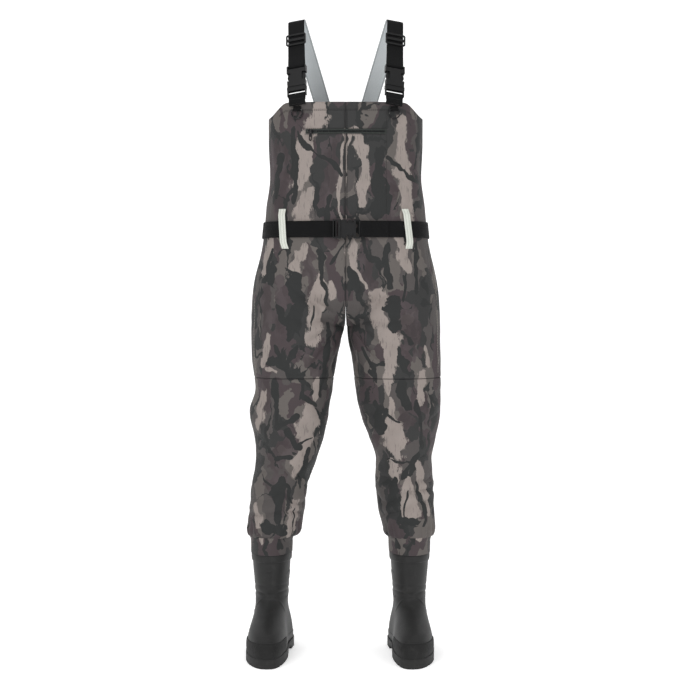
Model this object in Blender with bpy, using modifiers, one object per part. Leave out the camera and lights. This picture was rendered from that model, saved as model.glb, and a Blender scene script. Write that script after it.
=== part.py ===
"""Chest waders: a taped fabric bib and legs on welded rubber boots, with a belt and clip-on shoulder straps.

Metres, +Z up, the wearer looks along -Y. Left and right are the wearer's, so left is at +X.
The origin is on the floor, under the middle of the whole piece's bounding box.
"""

import math

import bmesh
import bpy
import numpy as np
from mathutils import Matrix, Vector

# ---------------------------------------------------------------- driving dimensions
FABRIC = 0.0018            # laminated fabric wall, with its folds
SEAM_GAP = 0.0003          # between two pieces that touch
PANEL_GAP = FABRIC * 4 / 9  # between two cloth panels at their seam, where their walls turn towards each other
LAYER_GAP = 0.0006         # between two layers of cloth or webbing
TOP_Z = 1.240              # bib top edge between the straps
CORNER_DROP = 0.030        # how far the bib's top edge falls at the side seams
BACK_TOP_Z = TOP_Z - 0.018
BELT_Z = 0.960
CROTCH_Z = 0.742
RISE_HEIGHT = 0.110        # height over which the body divides into two legs
HIP_HEIGHT = 0.200         # height over which the thighs' front and outer side take up their own shape
KNEE_Z = 0.628
HEM_Z = 0.262              # lowest point of the bloused lower leg
CUFF_TOP_Z = 0.254
CUFF_BOTTOM_Z = 0.2235
BODY_ROUNDNESS = 2.8       # superellipse exponent of the body's sections

WEBBING_WIDTH = 0.038
WEBBING = 0.0022           # strap webbing thickness
BELT_WIDTH = 0.036
BELT_THICKNESS = 0.0022
BELT_STANDOFF = 0.0018
LOOP_WIDTH = 0.012
LOOP_HEIGHT = BELT_WIDTH + 0.052
LOOP_THICKNESS = 0.0016

STRAP_X = 0.106            # strap centre line on the bib's top edge
STRAP_TOP_X = STRAP_X + 0.005
STRAP_TOP_Y = -0.012       # where the strap folds over the shoulder
STRAP_TOP_Z = TOP_Z + 0.196
STRAP_BACK_X = 0.047       # where the strap is sewn to the back
FOLD_RADIUS = 0.009

BUCKLE_RIM = 0.00325       # a buckle stands out past its webbing on each side
HOUSING_WIDTH = WEBBING_WIDTH + 2 * BUCKLE_RIM
HOUSING_THICKNESS = 0.0115
HOUSING_LENGTH = 0.056
INSERT_LENGTH = 0.024
BUCKLE_START = 0.014       # along the strap, from the bib's top edge to the insert's lower edge
ADJUSTER_START = 0.146
ADJUSTER_WIDTH = WEBBING_WIDTH + 0.0085
ADJUSTER_LENGTH = 0.029
ADJUSTER_THICKNESS = 0.0034
PRONG_THICKNESS = 0.0048
RING_WIRE = 0.0016         # D-ring wire radius
RING_WIDTH = 0.0250        # D-ring, between wire centres
RING_DROP = 0.0190

BOOT_SHAFT_TOP_Z = 0.243
BOOT_WALL = 0.0030
SOLE_TOP_Z = 0.0205
SOLE_MARGIN = 0.0030       # outsole beyond the upper
HEEL_BREAST = 0.30         # share of the sole's length that the heel block takes

ZIP_LENGTH = 0.178
ZIP_Z = TOP_Z - 0.065
ZIP_LEFT_X = 0.090         # closed end, at the wearer's left
ZIP_TAPE = 0.0052
POCKET_DEPTH = 0.150

# Stations from top to bottom: height, half width, half depth, centre depth
BODY_STATIONS = [
    (1.260, 0.1750, 0.1150, 0.004),
    (1.160, 0.1745, 0.1195, 0.004),
    (1.080, 0.1715, 0.1205, 0.004),
    (1.010, 0.1800, 0.1230, 0.004),
    (0.960, 0.1850, 0.1250, 0.004),
    (0.900, 0.1915, 0.1280, 0.004),
    (0.840, 0.2030, 0.1290, 0.004),
    (0.780, 0.2120, 0.1260, 0.004),
    (0.700, 0.2160, 0.1200, 0.004),
]
# Stations of each leg: height, centre from the middle of the body, half width, half depth, centre depth
LEG_STATIONS = {
    "right": [
        (0.780, -0.1080, 0.1070, 0.1150, 0.004),
        (0.742, -0.1095, 0.1065, 0.1120, 0.002),
        (0.714, -0.1130, 0.1020, 0.1080, 0.000),
        (0.660, -0.1170, 0.0950, 0.1000, -0.004),
        (0.603, -0.1180, 0.0880, 0.0920, -0.008),
        (0.548, -0.1290, 0.0910, 0.0900, -0.006),
        (0.493, -0.1290, 0.0800, 0.0840, 0.000),
        (0.438, -0.1360, 0.0700, 0.0800, 0.008),
        (0.382, -0.1510, 0.0635, 0.0780, 0.014),
        (0.327, -0.1580, 0.0625, 0.0750, 0.016),
        (0.280, -0.1650, 0.0620, 0.0730, 0.016),
    ],
    "left": [
        (0.780, 0.1080, 0.1070, 0.1150, 0.004),
        (0.742, 0.1095, 0.1065, 0.1120, 0.002),
        (0.714, 0.1110, 0.1050, 0.1080, 0.000),
        (0.660, 0.1170, 0.1000, 0.1000, -0.004),
        (0.603, 0.1190, 0.0970, 0.0940, -0.008),
        (0.548, 0.1240, 0.0910, 0.0900, -0.006),
        (0.493, 0.1290, 0.0770, 0.0840, 0.000),
        (0.438, 0.1340, 0.0640, 0.0800, 0.008),
        (0.382, 0.1360, 0.0665, 0.0780, 0.014),
        (0.327, 0.1400, 0.0640, 0.0750, 0.016),
        (0.280, 0.1470, 0.0600, 0.0730, 0.016),
    ],
}
BOOT_X = {"right": -0.1705, "left": 0.1470}
BOOT_Y = 0.016
BOOT_TURN = {"right": math.radians(-3.5), "left": math.radians(2.5)}
# Boot upper, heel to throat: height, front reach, back reach (both from the shaft's axis), half width, footness
BOOT_STATIONS = [
    (0.243, -0.0690, 0.0640, 0.0445, 0.00),
    (0.200, -0.0680, 0.0630, 0.0430, 0.00),
    (0.160, -0.0640, 0.0590, 0.0395, 0.00),
    (0.128, -0.0620, 0.0560, 0.0370, 0.05),
    (0.108, -0.0760, 0.0560, 0.0370, 0.20),
    (0.092, -0.1040, 0.0575, 0.0385, 0.45),
    (0.078, -0.1420, 0.0590, 0.0415, 0.70),
    (0.064, -0.1800, 0.0605, 0.0445, 0.90),
    (0.048, -0.2020, 0.0620, 0.0470, 1.00),
    (0.034, -0.2090, 0.0635, 0.0480, 1.00),
    (0.0208, -0.2100, 0.0640, 0.0470, 1.00),
]

SIDES = {"left": 1.0, "right": -1.0}


# ---------------------------------------------------------------- scene and objects
def clear_scene():
    for obj in list(bpy.data.objects):
        bpy.data.objects.remove(obj, do_unlink=True)


def new_collection(name, hidden=False):
    collection = bpy.data.collections.new(name)
    bpy.context.scene.collection.children.link(collection)
    collection.hide_render = hidden
    return collection


clear_scene()
PARTS = new_collection("chest_waders")
CUTTERS = new_collection("cutters", hidden=True)


def add_empty(name, parent=None, matrix=None):
    """An empty carries the frame of a group; its matrix is in its parent's frame."""
    empty = bpy.data.objects.new(name, None)
    PARTS.objects.link(empty)
    empty.empty_display_size = 0.02
    empty.parent = parent
    if matrix is not None:
        empty.matrix_basis = matrix
    return empty


ASSEMBLY = add_empty("assembly")


def make_material(name, colour, roughness, metallic=0.0):
    material = bpy.data.materials.new(name)
    material.use_nodes = True
    shader = material.node_tree.nodes["Principled BSDF"]
    shader.inputs["Base Color"].default_value = (*colour, 1.0)
    shader.inputs["Roughness"].default_value = roughness
    shader.inputs["Metallic"].default_value = metallic
    material.diffuse_color = (*colour, 1.0)
    return material


CAMO_CLOTH = make_material("camo_cloth", (0.095, 0.085, 0.080), 0.82)
LINING_TAPE = make_material("seam_tape", (0.060, 0.062, 0.064), 0.55)
BLACK_WEBBING = make_material("black_webbing", (0.012, 0.012, 0.013), 0.75)
GREY_WEBBING = make_material("grey_webbing", (0.300, 0.320, 0.330), 0.80)
PALE_WEBBING = make_material("pale_loop_webbing", (0.680, 0.690, 0.640), 0.80)
BUCKLE_PLASTIC = make_material("buckle_plastic", (0.014, 0.014, 0.015), 0.38)
RING_METAL = make_material("ring_metal", (0.120, 0.120, 0.125), 0.35, 1.0)
BOOT_RUBBER = make_material("boot_rubber", (0.032, 0.032, 0.033), 0.48)
SOLE_RUBBER = make_material("sole_rubber", (0.026, 0.026, 0.027), 0.62)
ZIP_TAPE_CLOTH = make_material("zip_tape_cloth", (0.050, 0.056, 0.052), 0.70)
INSOLE_FELT = make_material("insole_felt", (0.080, 0.080, 0.080), 0.90)


def add_object(name, data, material, parent=None, collection=None, matrix=None, smooth=True):
    """Link an object, in its parent's frame, with one material."""
    obj = bpy.data.objects.new(name, data)
    (collection or PARTS).objects.link(obj)
    obj.parent = parent or ASSEMBLY
    if matrix is not None:
        obj.matrix_basis = matrix
    data.materials.clear()
    data.materials.append(material)
    if smooth and isinstance(data, bpy.types.Mesh):
        data.shade_smooth()
    return obj


def mesh_from(vertices, faces, name):
    mesh = bpy.data.meshes.new(name)
    mesh.from_pydata([tuple(map(float, p)) for p in vertices], [], faces)
    mesh.update()
    return mesh


def grid_mesh(points, name, wrap=False):
    """Quads over a grid of points, rows by columns; wrap joins the last column to the first."""
    rows, columns = points.shape[:2]
    faces = []
    for row in range(rows - 1):
        for column in range(columns if wrap else columns - 1):
            following = (column + 1) % columns
            faces.append(
                (
                    row * columns + column,
                    (row + 1) * columns + column,
                    (row + 1) * columns + following,
                    row * columns + following,
                )
            )
    return mesh_from(points.reshape(-1, 3), faces, name)


def add_wall(obj, thickness, offset=-1.0):
    """Give an open surface its wall; offset -1 grows it against the normals."""
    modifier = obj.modifiers.new("wall", "SOLIDIFY")
    modifier.thickness = thickness
    modifier.offset = offset
    modifier.use_even_offset = True
    modifier.use_quality_normals = True
    return modifier


def add_bevel(obj, width, segments=2):
    modifier = obj.modifiers.new("rounded_edges", "BEVEL")
    modifier.width = width
    modifier.segments = segments
    modifier.limit_method = "ANGLE"
    modifier.angle_limit = math.radians(40.0)
    return modifier


def box_mesh(size, centre, name="box"):
    build = bmesh.new()
    bmesh.ops.create_cube(build, size=1.0)
    bmesh.ops.scale(build, vec=Vector(size), verts=build.verts)
    bmesh.ops.translate(build, vec=Vector(centre), verts=build.verts)
    mesh = bpy.data.meshes.new(name)
    build.to_mesh(mesh)
    build.free()
    return mesh


def cut(obj, cutter_mesh, parent=None, operation="DIFFERENCE"):
    """Cut a body with a hidden solid that stands in the same frame."""
    cutter = bpy.data.objects.new(obj.name + "_cutter", cutter_mesh)
    CUTTERS.objects.link(cutter)
    cutter.parent = parent or obj.parent
    cutter.matrix_basis = obj.matrix_basis
    cutter.hide_render = True
    cutter.display_type = "WIRE"
    modifier = obj.modifiers.new("cut", "BOOLEAN")
    modifier.operation = operation
    modifier.solver = "EXACT"
    modifier.object = cutter
    return modifier


def outline_object(name, outlines, thickness, material, parent=None, matrix=None, bevel=0.0):
    """A flat plate from closed outlines in its own XY plane, thickness along Z; inner outlines are holes."""
    curve = bpy.data.curves.new(name, "CURVE")
    curve.dimensions = "2D"
    curve.fill_mode = "BOTH"
    curve.extrude = thickness / 2 - bevel
    curve.bevel_depth = bevel
    curve.bevel_resolution = 1
    curve.offset = -bevel
    curve.render_resolution_u = 0
    for outline in outlines:
        spline = curve.splines.new("POLY")
        spline.points.add(len(outline) - 1)
        for point, (x, y) in zip(spline.points, outline):
            point.co = (x, y, 0.0, 1.0)
        spline.use_cyclic_u = True
    return add_object(name, curve, material, parent, matrix=matrix)


def mesh_of_curve(obj):
    """Turn a curve into a welded mesh object in the same place, so that it can be cut."""
    bpy.context.view_layer.update()
    evaluated = obj.evaluated_get(bpy.context.evaluated_depsgraph_get())
    mesh = bpy.data.meshes.new_from_object(evaluated)
    build = bmesh.new()
    build.from_mesh(mesh)
    bmesh.ops.remove_doubles(build, verts=build.verts, dist=1e-6)
    bmesh.ops.recalc_face_normals(build, faces=build.faces)
    build.to_mesh(mesh)
    build.free()
    name, parent, basis = obj.name, obj.parent, obj.matrix_basis.copy()
    material = obj.data.materials[0]
    bpy.data.objects.remove(obj, do_unlink=True)
    return add_object(name, mesh, material, parent, matrix=basis, smooth=False)


# ---------------------------------------------------------------- smooth stations
def between(stations, height):
    """Values at each height, by a smooth monotone curve through the stations (height is the first column)."""
    table = np.asarray(sorted(stations), dtype=float)
    knots, values = table[:, 0], table[:, 1:]
    height = np.clip(np.asarray(height, dtype=float), knots[0], knots[-1])
    steps = np.diff(knots)
    slopes = np.diff(values, axis=0) / steps[:, None]
    tangents = np.zeros_like(values)
    same_way = slopes[:-1] * slopes[1:] > 0
    safe = np.where(np.abs(slopes[:-1] + slopes[1:]) > 1e-12, slopes[:-1] + slopes[1:], 1.0)
    tangents[1:-1] = np.where(same_way, 2 * slopes[:-1] * slopes[1:] / safe, 0.0)
    tangents[0], tangents[-1] = slopes[0], slopes[-1]
    cell = np.clip(np.searchsorted(knots, height) - 1, 0, len(steps) - 1)
    share = (height - knots[cell]) / steps[cell]
    share = share[..., None]
    width = steps[cell][..., None]
    return (
        (1 + 2 * share) * (1 - share) ** 2 * values[cell]
        + share * (1 - share) ** 2 * width * tangents[cell]
        + share**2 * (3 - 2 * share) * values[cell + 1]
        + share**2 * (share - 1) * width * tangents[cell + 1]
    )


def superellipse(angle, half_width, half_depth, roundness=2.0):
    """A point on a superellipse, the angle counted from +X towards -Y."""
    cosine, sine = np.cos(angle), np.sin(angle)
    power = 2.0 / roundness
    across = np.sign(cosine) * np.abs(cosine) ** power * half_width
    forward = np.sign(sine) * np.abs(sine) ** power * half_depth
    return across, -forward


# ---------------------------------------------------------------- the garment's surface
def smooth_step(value):
    share = np.clip(value, 0.0, 1.0)
    return share * share * (3 - 2 * share)


def body_section(side, face, angle, height, offset=0.0):
    """The body's section: angle 0 is the side seam and 90 degrees the centre seam; face 1 front, -1 back."""
    half_width, half_depth, centre = np.moveaxis(between(BODY_STATIONS, height), -1, 0)
    across, forward = superellipse(angle, half_width + offset, half_depth + offset, BODY_ROUNDNESS)
    return np.stack([SIDES[side] * across, centre + face * forward, height + 0 * across], axis=-1)


def leg_section(side, face, angle, height, offset=0.0):
    """A leg's section: angle 0 is the outer seam and 180 degrees the inseam."""
    middle, half_width, half_depth, centre = np.moveaxis(between(LEG_STATIONS[side], height), -1, 0)
    across, forward = superellipse(angle, half_width + offset, half_depth + offset)
    return np.stack([middle + SIDES[side] * across, centre + face * forward, height + 0 * across], axis=-1)


def panel_surface(side, face, share, height, offset=0.0):
    """The upper garment: share 0 is the centre seam or inseam, 1 the side seam. The body turns into a leg."""
    share, height = np.broadcast_arrays(share, height)
    body = body_section(side, face, (1 - share) * math.pi / 2, height, offset)
    leg = leg_section(side, face, (1 - share) * math.pi, height, offset)
    fall = np.clip((CROTCH_Z + RISE_HEIGHT - height) / RISE_HEIGHT, 0.0, 1.0)
    at_crotch = 1 - np.sqrt(1 - fall**2)
    at_hip = smooth_step((CROTCH_Z + HIP_HEIGHT - height) / HIP_HEIGHT)
    outward = smooth_step(share / 0.45)
    divided = (at_crotch * (1 - outward) + at_hip * outward)[..., None]
    return body * (1 - divided) + leg * divided


def open_seams(points, side, face):
    """Move a panel half a seam gap away from the centre plane and from the side seam plane."""
    return points + np.array([SIDES[side], -face, 0.0]) * PANEL_GAP / 2


def top_edge(side, face, share):
    """How far the top edge lies below the bib's highest line, by the distance from the centre seam."""
    across = np.abs(body_section(side, face, (1 - share) * math.pi / 2, TOP_Z + 0 * share)[..., 0])
    outer = BODY_STATIONS[0][1]
    shoulder = STRAP_X + WEBBING_WIDTH / 2 + 0.004
    drop = smooth_step((across - shoulder) / (outer - shoulder)) * CORNER_DROP
    return drop if face > 0 else (TOP_Z - BACK_TOP_Z) + drop * (1 - (TOP_Z - BACK_TOP_Z) / CORNER_DROP)


def upper_panel(side, face, name):
    """Half of the front or back, cut in one from the bib's top edge to the knee seam."""
    shares = np.linspace(0.0, 1.0, 13)
    body_rows = np.linspace(TOP_Z, CROTCH_Z + RISE_HEIGHT, 8)
    rise_rows = CROTCH_Z + RISE_HEIGHT * (1 - np.sin(np.linspace(0.0, math.pi / 2, 6)[1:]))
    leg_rows = np.linspace(CROTCH_Z, KNEE_Z, 4)[1:]
    heights = np.concatenate([body_rows, rise_rows, leg_rows])
    share, height = np.meshgrid(shares, heights)
    fade = np.clip((height - BELT_Z - 0.08) / (TOP_Z - BELT_Z - 0.08), 0.0, 1.0)
    height = height - top_edge(side, face, share) * fade**1.5
    points = open_seams(panel_surface(side, face, share, height), side, face)
    mesh = grid_mesh(points, name)
    if SIDES[side] * face < 0:
        mesh.flip_normals()
    panel = add_object(name, mesh, CAMO_CLOTH)
    add_wall(panel, FABRIC)
    return panel


def lower_panel(side, face, name):
    """Half of the lower leg, from the knee seam to the bloused hem, which turns in over the cuff."""
    shares = np.linspace(0.0, 1.0, 13)
    heights = np.linspace(KNEE_Z - PANEL_GAP, HEM_Z + 0.018, 8)
    share, height = np.meshgrid(shares, heights)
    points = leg_section(side, face, (1 - share) * math.pi, height)
    turned_in = []
    cuff = cuff_section(side, face, (1 - shares) * math.pi, CUFF_TOP_Z, 0.004)
    for turn in np.radians([35.0, 70.0, 100.0]):
        ring = points[-1] + (cuff - points[-1]) * (1 - math.cos(turn)) * 0.62
        ring[:, 2] = HEM_Z + 0.018 * (1 - math.sin(min(turn, math.pi / 2)))
        turned_in.append(ring)
    points = np.concatenate([points, np.array(turned_in)])
    points = points + np.array([0.0, -face, 0.0]) * PANEL_GAP / 2
    mesh = grid_mesh(points, name)
    if SIDES[side] * face < 0:
        mesh.flip_normals()
    panel = add_object(name, mesh, CAMO_CLOTH)
    add_wall(panel, FABRIC)
    return panel


# ---------------------------------------------------------------- boots
def boot_section(side, angle, height, offset=0.0):
    """The boot upper's outline at a height: a round shaft that grows into the foot's outline."""
    front, back, half_width, footness = np.moveaxis(between(BOOT_STATIONS, height), -1, 0)
    cosine, sine = np.cos(angle), np.sin(angle)
    roundness = 2.0 + 0.7 * footness
    reach = np.where(sine > 0, -front, back) + offset
    y = -np.sign(sine) * np.abs(sine) ** (2 / roundness) * reach
    x = np.sign(cosine) * np.abs(cosine) ** (2 / roundness) * (half_width + offset)
    waist = np.exp(-(((y + 0.045) / 0.045) ** 2)) * np.where(cosine > 0, 0.05, 0.14) * footness
    toe = np.clip((-y - 0.10) / 0.11, 0.0, 1.0) ** 2 * footness
    x = x * (1 - waist) * (1 - 0.10 * toe) - 0.010 * toe
    turned = BOOT_TURN[side]
    x = x * SIDES[side]
    world_x = BOOT_X[side] + x * math.cos(turned) - y * math.sin(turned)
    world_y = BOOT_Y + x * math.sin(turned) + y * math.cos(turned)
    return np.stack([world_x, world_y, height + 0 * world_x], axis=-1)


def boot_rings(side, heights, offset=0.0, columns=24):
    angles = np.linspace(0.0, 2 * math.pi, columns, endpoint=False)
    angle, height = np.meshgrid(angles, heights)
    return boot_section(side, angle, height, offset)


def cuff_section(side, face, angle, height, offset=0.0):
    """A point round the boot's shaft, with the leg's angles: 0 outside, 180 degrees at the inseam."""
    return boot_section(side, face * np.asarray(angle), height + 0 * np.asarray(angle), offset)


def ring_band(side, name, heights, offsets, thickness, material):
    """A closed band round the boot's shaft, its outer surface at the given offsets, wall inwards."""
    angles = np.linspace(0.0, 2 * math.pi, 24, endpoint=False)
    rows = [boot_section(side, angles, z + 0 * angles, o) for z, o in zip(heights, offsets)]
    mesh = grid_mesh(np.array(rows), name, wrap=True)
    band = add_object(name, mesh, material)
    face_wall_inwards(mesh, BOOT_X[side])
    add_wall(band, thickness)
    return band


def face_wall_inwards(mesh, centre_x):
    """Turn an open tube's faces outward, judged by its first face."""
    face = mesh.polygons[0]
    outward = Vector((face.center.x - centre_x, face.center.y - BOOT_Y, 0.0))
    if face.normal.dot(outward) < 0:
        mesh.flip_normals()


def boot_upper(side):
    heights = [BOOT_SHAFT_TOP_Z, 0.2215, 0.195, 0.165, 0.142, 0.126, 0.113, 0.102, 0.092, 0.082,
               0.072, 0.062, 0.051, 0.039, 0.029, SOLE_TOP_Z + SEAM_GAP]
    mesh = grid_mesh(boot_rings(side, np.array(heights)), side + "_boot_upper", wrap=True)
    face_wall_inwards(mesh, BOOT_X[side])
    upper = add_object(side + "_boot_upper", mesh, BOOT_RUBBER)
    add_wall(upper, BOOT_WALL)
    return upper


def toe_cap(side):
    """The rough moulded cap round the toe, a thin layer over the upper."""
    angles = np.radians(np.linspace(28.0, 152.0, 17))
    heights = np.linspace(0.050, SOLE_TOP_Z + SEAM_GAP, 6)
    angle, height = np.meshgrid(angles, heights)
    points = boot_section(side, angle, height, LAYER_GAP)
    mesh = grid_mesh(points, side + "_toe_cap")
    face_wall_inwards(mesh, BOOT_X[side])
    cap = add_object(side + "_toe_cap", mesh, SOLE_RUBBER)
    add_wall(cap, 0.0014, offset=1.0)
    return cap


def sole_outline(side, offset, columns=36):
    angles = np.linspace(0.0, 2 * math.pi, columns, endpoint=False)
    return boot_section(side, angles, 0.034 + 0 * angles, offset)[:, :2]


def outsole(side):
    """The sole slab with its arch and the grooves between the lugs cut away."""
    outline = sole_outline(side, SOLE_MARGIN)
    name = side + "_outsole"
    plate = outline_object(name, [outline - outline.mean(axis=0)], SOLE_TOP_Z, SOLE_RUBBER)
    plate.location = (*outline.mean(axis=0), SOLE_TOP_Z / 2)
    sole = mesh_of_curve(plate)
    middle = Vector((*outline.mean(axis=0), SOLE_TOP_Z / 2))
    turn = Matrix.Rotation(BOOT_TURN[side], 4, "Z")
    toe_y, heel_y = outline[:, 1].min(), outline[:, 1].max()
    length = heel_y - toe_y
    grooves = bmesh.new()
    arch_front, arch_back = toe_y + length * 0.56, heel_y - length * HEEL_BREAST
    spans = [((arch_front + arch_back) / 2, arch_back - arch_front, 0.0085)]
    spans += [(toe_y + length * share, 0.0055, 0.0040) for share in (0.12, 0.22, 0.32, 0.42, 0.86, 0.93)]
    for centre, width, depth in spans:
        local = Matrix.Translation((0.0, centre - middle.y, depth / 2 - 0.002 - SOLE_TOP_Z / 2))
        bmesh.ops.create_cube(
            grooves, size=1.0,
            matrix=turn @ local @ Matrix.Diagonal((0.16, width, depth + 0.004, 1.0)),
        )
    mesh = bpy.data.meshes.new(name + "_grooves")
    grooves.to_mesh(mesh)
    grooves.free()
    cut(sole, mesh)
    return sole


def insole(side):
    outline = sole_outline(side, -BOOT_WALL - 0.0026, 30)
    plate = outline_object(side + "_insole", [outline - outline.mean(axis=0)], 0.0040, INSOLE_FELT)
    plate.location = (*outline.mean(axis=0), SOLE_TOP_Z + SEAM_GAP + 0.0020)
    return plate


def make_boot(side):
    boot_upper(side)
    toe_cap(side)
    outsole(side)
    insole(side)
    ring_band(side, side + "_cuff", [CUFF_TOP_Z, 0.244, 0.234, CUFF_BOTTOM_Z],
              [0.0042, 0.0038, 0.0034, 0.0030], FABRIC, CAMO_CLOTH)
    ring_band(side, side + "_boot_weld_band", [CUFF_BOTTOM_Z - SEAM_GAP, 0.216, 0.2075],
              [0.0026, 0.0026, 0.0022], 0.0016, BOOT_RUBBER)


# ---------------------------------------------------------------- pieces that lie on the cloth
def strip_on_body(name, side_shares, heights, offsets, thickness, material, face=1, outward=True):
    """A strip over the body's surface: columns run through (side, share) pairs, rows through the heights."""
    rows = []
    for height, offset in zip(heights, offsets):
        row = [
            panel_surface(side, face, np.array(share), np.array(height), offset)
            for side, share in side_shares
        ]
        rows.append(row)
    mesh = grid_mesh(np.array(rows), name)
    centre = mesh.polygons[len(mesh.polygons) // 2]
    if centre.normal.y * -face < 0:
        mesh.flip_normals()
    strip = add_object(name, mesh, material)
    add_wall(strip, thickness, offset=1.0 if outward else -1.0)
    return strip


def share_at(across, height):
    """The panel share at which the body's surface lies a distance from the centre plane."""
    half_width = float(between(BODY_STATIONS, height)[0])
    return 1 - 2 / math.pi * math.acos(min(abs(across) / half_width, 1.0) ** (BODY_ROUNDNESS / 2))


def across_row(start, end, count, height):
    """(side, share) pairs from the wearer's right, negative, to the left, positive."""
    places = np.linspace(start, end, count)
    return [("left" if x >= 0 else "right", share_at(x, height)) for x in places]


def centre_tape(face, name):
    pairs = across_row(-0.011, 0.011, 3, 1.05)
    top = TOP_Z if face > 0 else BACK_TOP_Z
    heights = np.linspace(top - 0.024, CROTCH_Z + RISE_HEIGHT, 8)
    inset = -(FABRIC + 2 * LAYER_GAP)
    return strip_on_body(name, pairs, heights, [inset] * 8, 0.0008, LINING_TAPE, face, outward=False)


def side_tape(side, name):
    """The tape inside a side seam, from under the bib's corner to the knee seam."""
    heights = np.linspace(TOP_Z - CORNER_DROP - 0.024, KNEE_Z + 0.006, 12)
    inset = -(FABRIC + 2 * LAYER_GAP)
    columns = [(1, 0.960), (1, 1.0), (-1, 0.960)]
    rows = [
        [panel_surface(side, face, np.array(share), np.array(z), inset) for face, share in columns]
        for z in heights
    ]
    mesh = grid_mesh(np.array(rows), name)
    if mesh.polygons[0].normal.x * SIDES[side] < 0:
        mesh.flip_normals()
    tape = add_object(name, mesh, LINING_TAPE)
    add_wall(tape, 0.0008)
    return tape


def hem_facing():
    """The folded hem inside the bib's top edge, open at the side seams."""
    for face, label in ((1, "front"), (-1, "back")):
        shares = np.linspace(0.90, 0.0, 8)
        columns = [("right", s) for s in shares] + [("left", s) for s in shares[::-1][1:]]
        rows = []
        for depth in (0.0012, 0.010, 0.020):
            row = []
            for side, share in columns:
                top = TOP_Z - float(top_edge(side, face, np.array(share))) - depth
                row.append(panel_surface(side, face, np.array(share), np.array(top), -(FABRIC + LAYER_GAP)))
            rows.append(row)
        name = label + "_hem_facing"
        mesh = grid_mesh(np.array(rows), name)
        if mesh.polygons[8].normal.y * -face < 0:
            mesh.flip_normals()
        add_wall(add_object(name, mesh, CAMO_CLOTH), 0.0008)


def pocket_bag():
    pairs = across_row(-0.084, 0.082, 9, 1.10)
    heights = np.linspace(ZIP_Z - 0.006, ZIP_Z - POCKET_DEPTH, 6)
    inset = [-0.0052, -0.0070, -0.0085, -0.0085, -0.0070, -0.0056]
    return strip_on_body("pocket_bag", pairs, heights, inset, 0.0030, CAMO_CLOTH, 1, outward=False)


# ---------------------------------------------------------------- belt
def belt_webbing():
    """One length round the waist, from the buckle's bar round the back to the ladder lock."""
    angles = []
    start = math.asin(1.0) - 0.085
    for side, sign in (("left", 1), ("right", -1)):
        pairs = [("front", a) for a in np.linspace(start, 0.0, 12)]
        pairs += [("back", a) for a in np.linspace(0.0, math.pi / 2, 12)[1:]]
        if sign < 0:
            pairs = pairs[::-1][1:]
        angles += [(side, 1 if face == "front" else -1, a) for face, a in pairs]
    rows = []
    for height in (BELT_Z + BELT_WIDTH / 2, BELT_Z - BELT_WIDTH / 2):
        rows.append([
            body_section(side, face, np.array(a), np.array(height), BELT_STANDOFF) for side, face, a in angles
        ])
    mesh = grid_mesh(np.array(rows), "belt_webbing")
    if mesh.polygons[0].normal.y > 0:
        mesh.flip_normals()
    belt = add_object("belt_webbing", mesh, BLACK_WEBBING)
    add_wall(belt, BELT_THICKNESS, offset=1.0)
    return belt


def belt_loop(name, side, face, top_across, bottom_across, material):
    """A strip sewn above and below the belt that bows over it."""
    shares = np.linspace(0.0, 1.0, 9)
    top = BELT_Z + LOOP_HEIGHT / 2 + 0.001
    reach = BELT_STANDOFF + BELT_THICKNESS + LAYER_GAP
    rows = []
    for share in shares:
        height = top - LOOP_HEIGHT * share
        across = top_across + (bottom_across - top_across) * share
        lift = LAYER_GAP + reach * float(smooth_step(np.sin(math.pi * share) * 1.9))
        row = []
        for edge in (-0.5, 0.0, 0.5):
            at = share_at(across + edge * LOOP_WIDTH * 1.25, height)
            row.append(body_section(side, face, np.array((1 - at) * math.pi / 2), np.array(height), lift))
        rows.append(row)
    mesh = grid_mesh(np.array(rows), name)
    if mesh.polygons[8].normal.y * -face < 0:
        mesh.flip_normals()
    loop = add_object(name, mesh, material)
    add_wall(loop, LOOP_THICKNESS, offset=1.0)
    return loop


# ---------------------------------------------------------------- chest zip
ZIP_CLEARANCE = 0.0014
SLIDER_INSET = 0.011       # slider's middle from the end of the zip when closed
SLIDER_SIZE = (0.0095, 0.0024, 0.0085)
PULL_THICKNESS = 0.0018
PULL_STUB = 0.0012         # how far the pull reaches past its own hinge


def zip_radius():
    """The radius of the arc, seen from above, through the bib's front at the middle and ends of the zip."""
    half_width, half_depth = between(BODY_STATIONS, ZIP_Z)[:2]
    reach = ZIP_LENGTH / 2 - SLIDER_INSET
    sag = half_depth * (1 - (1 - (reach / half_width) ** BODY_ROUNDNESS) ** (1 / BODY_ROUNDNESS))
    return float((reach**2 + sag**2) / (2 * sag))


def zip_frame():
    """The upright axis that the zip's slider turns about as it follows the curve of the chest."""
    half_depth, centre = between(BODY_STATIONS, ZIP_Z)[1:]
    front = float(centre - half_depth)
    axis = Matrix.Translation((0.0, front + zip_radius(), ZIP_Z))
    return add_empty("zip_arc_axis", ASSEMBLY, axis)


def zip_tape(name, low, high):
    start = ZIP_LEFT_X - ZIP_LENGTH
    pairs = across_row(start, ZIP_LEFT_X, 13, ZIP_Z)
    return strip_on_body(name, pairs, [high, low], [LAYER_GAP] * 2, 0.0009, ZIP_TAPE_CLOTH)


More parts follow.
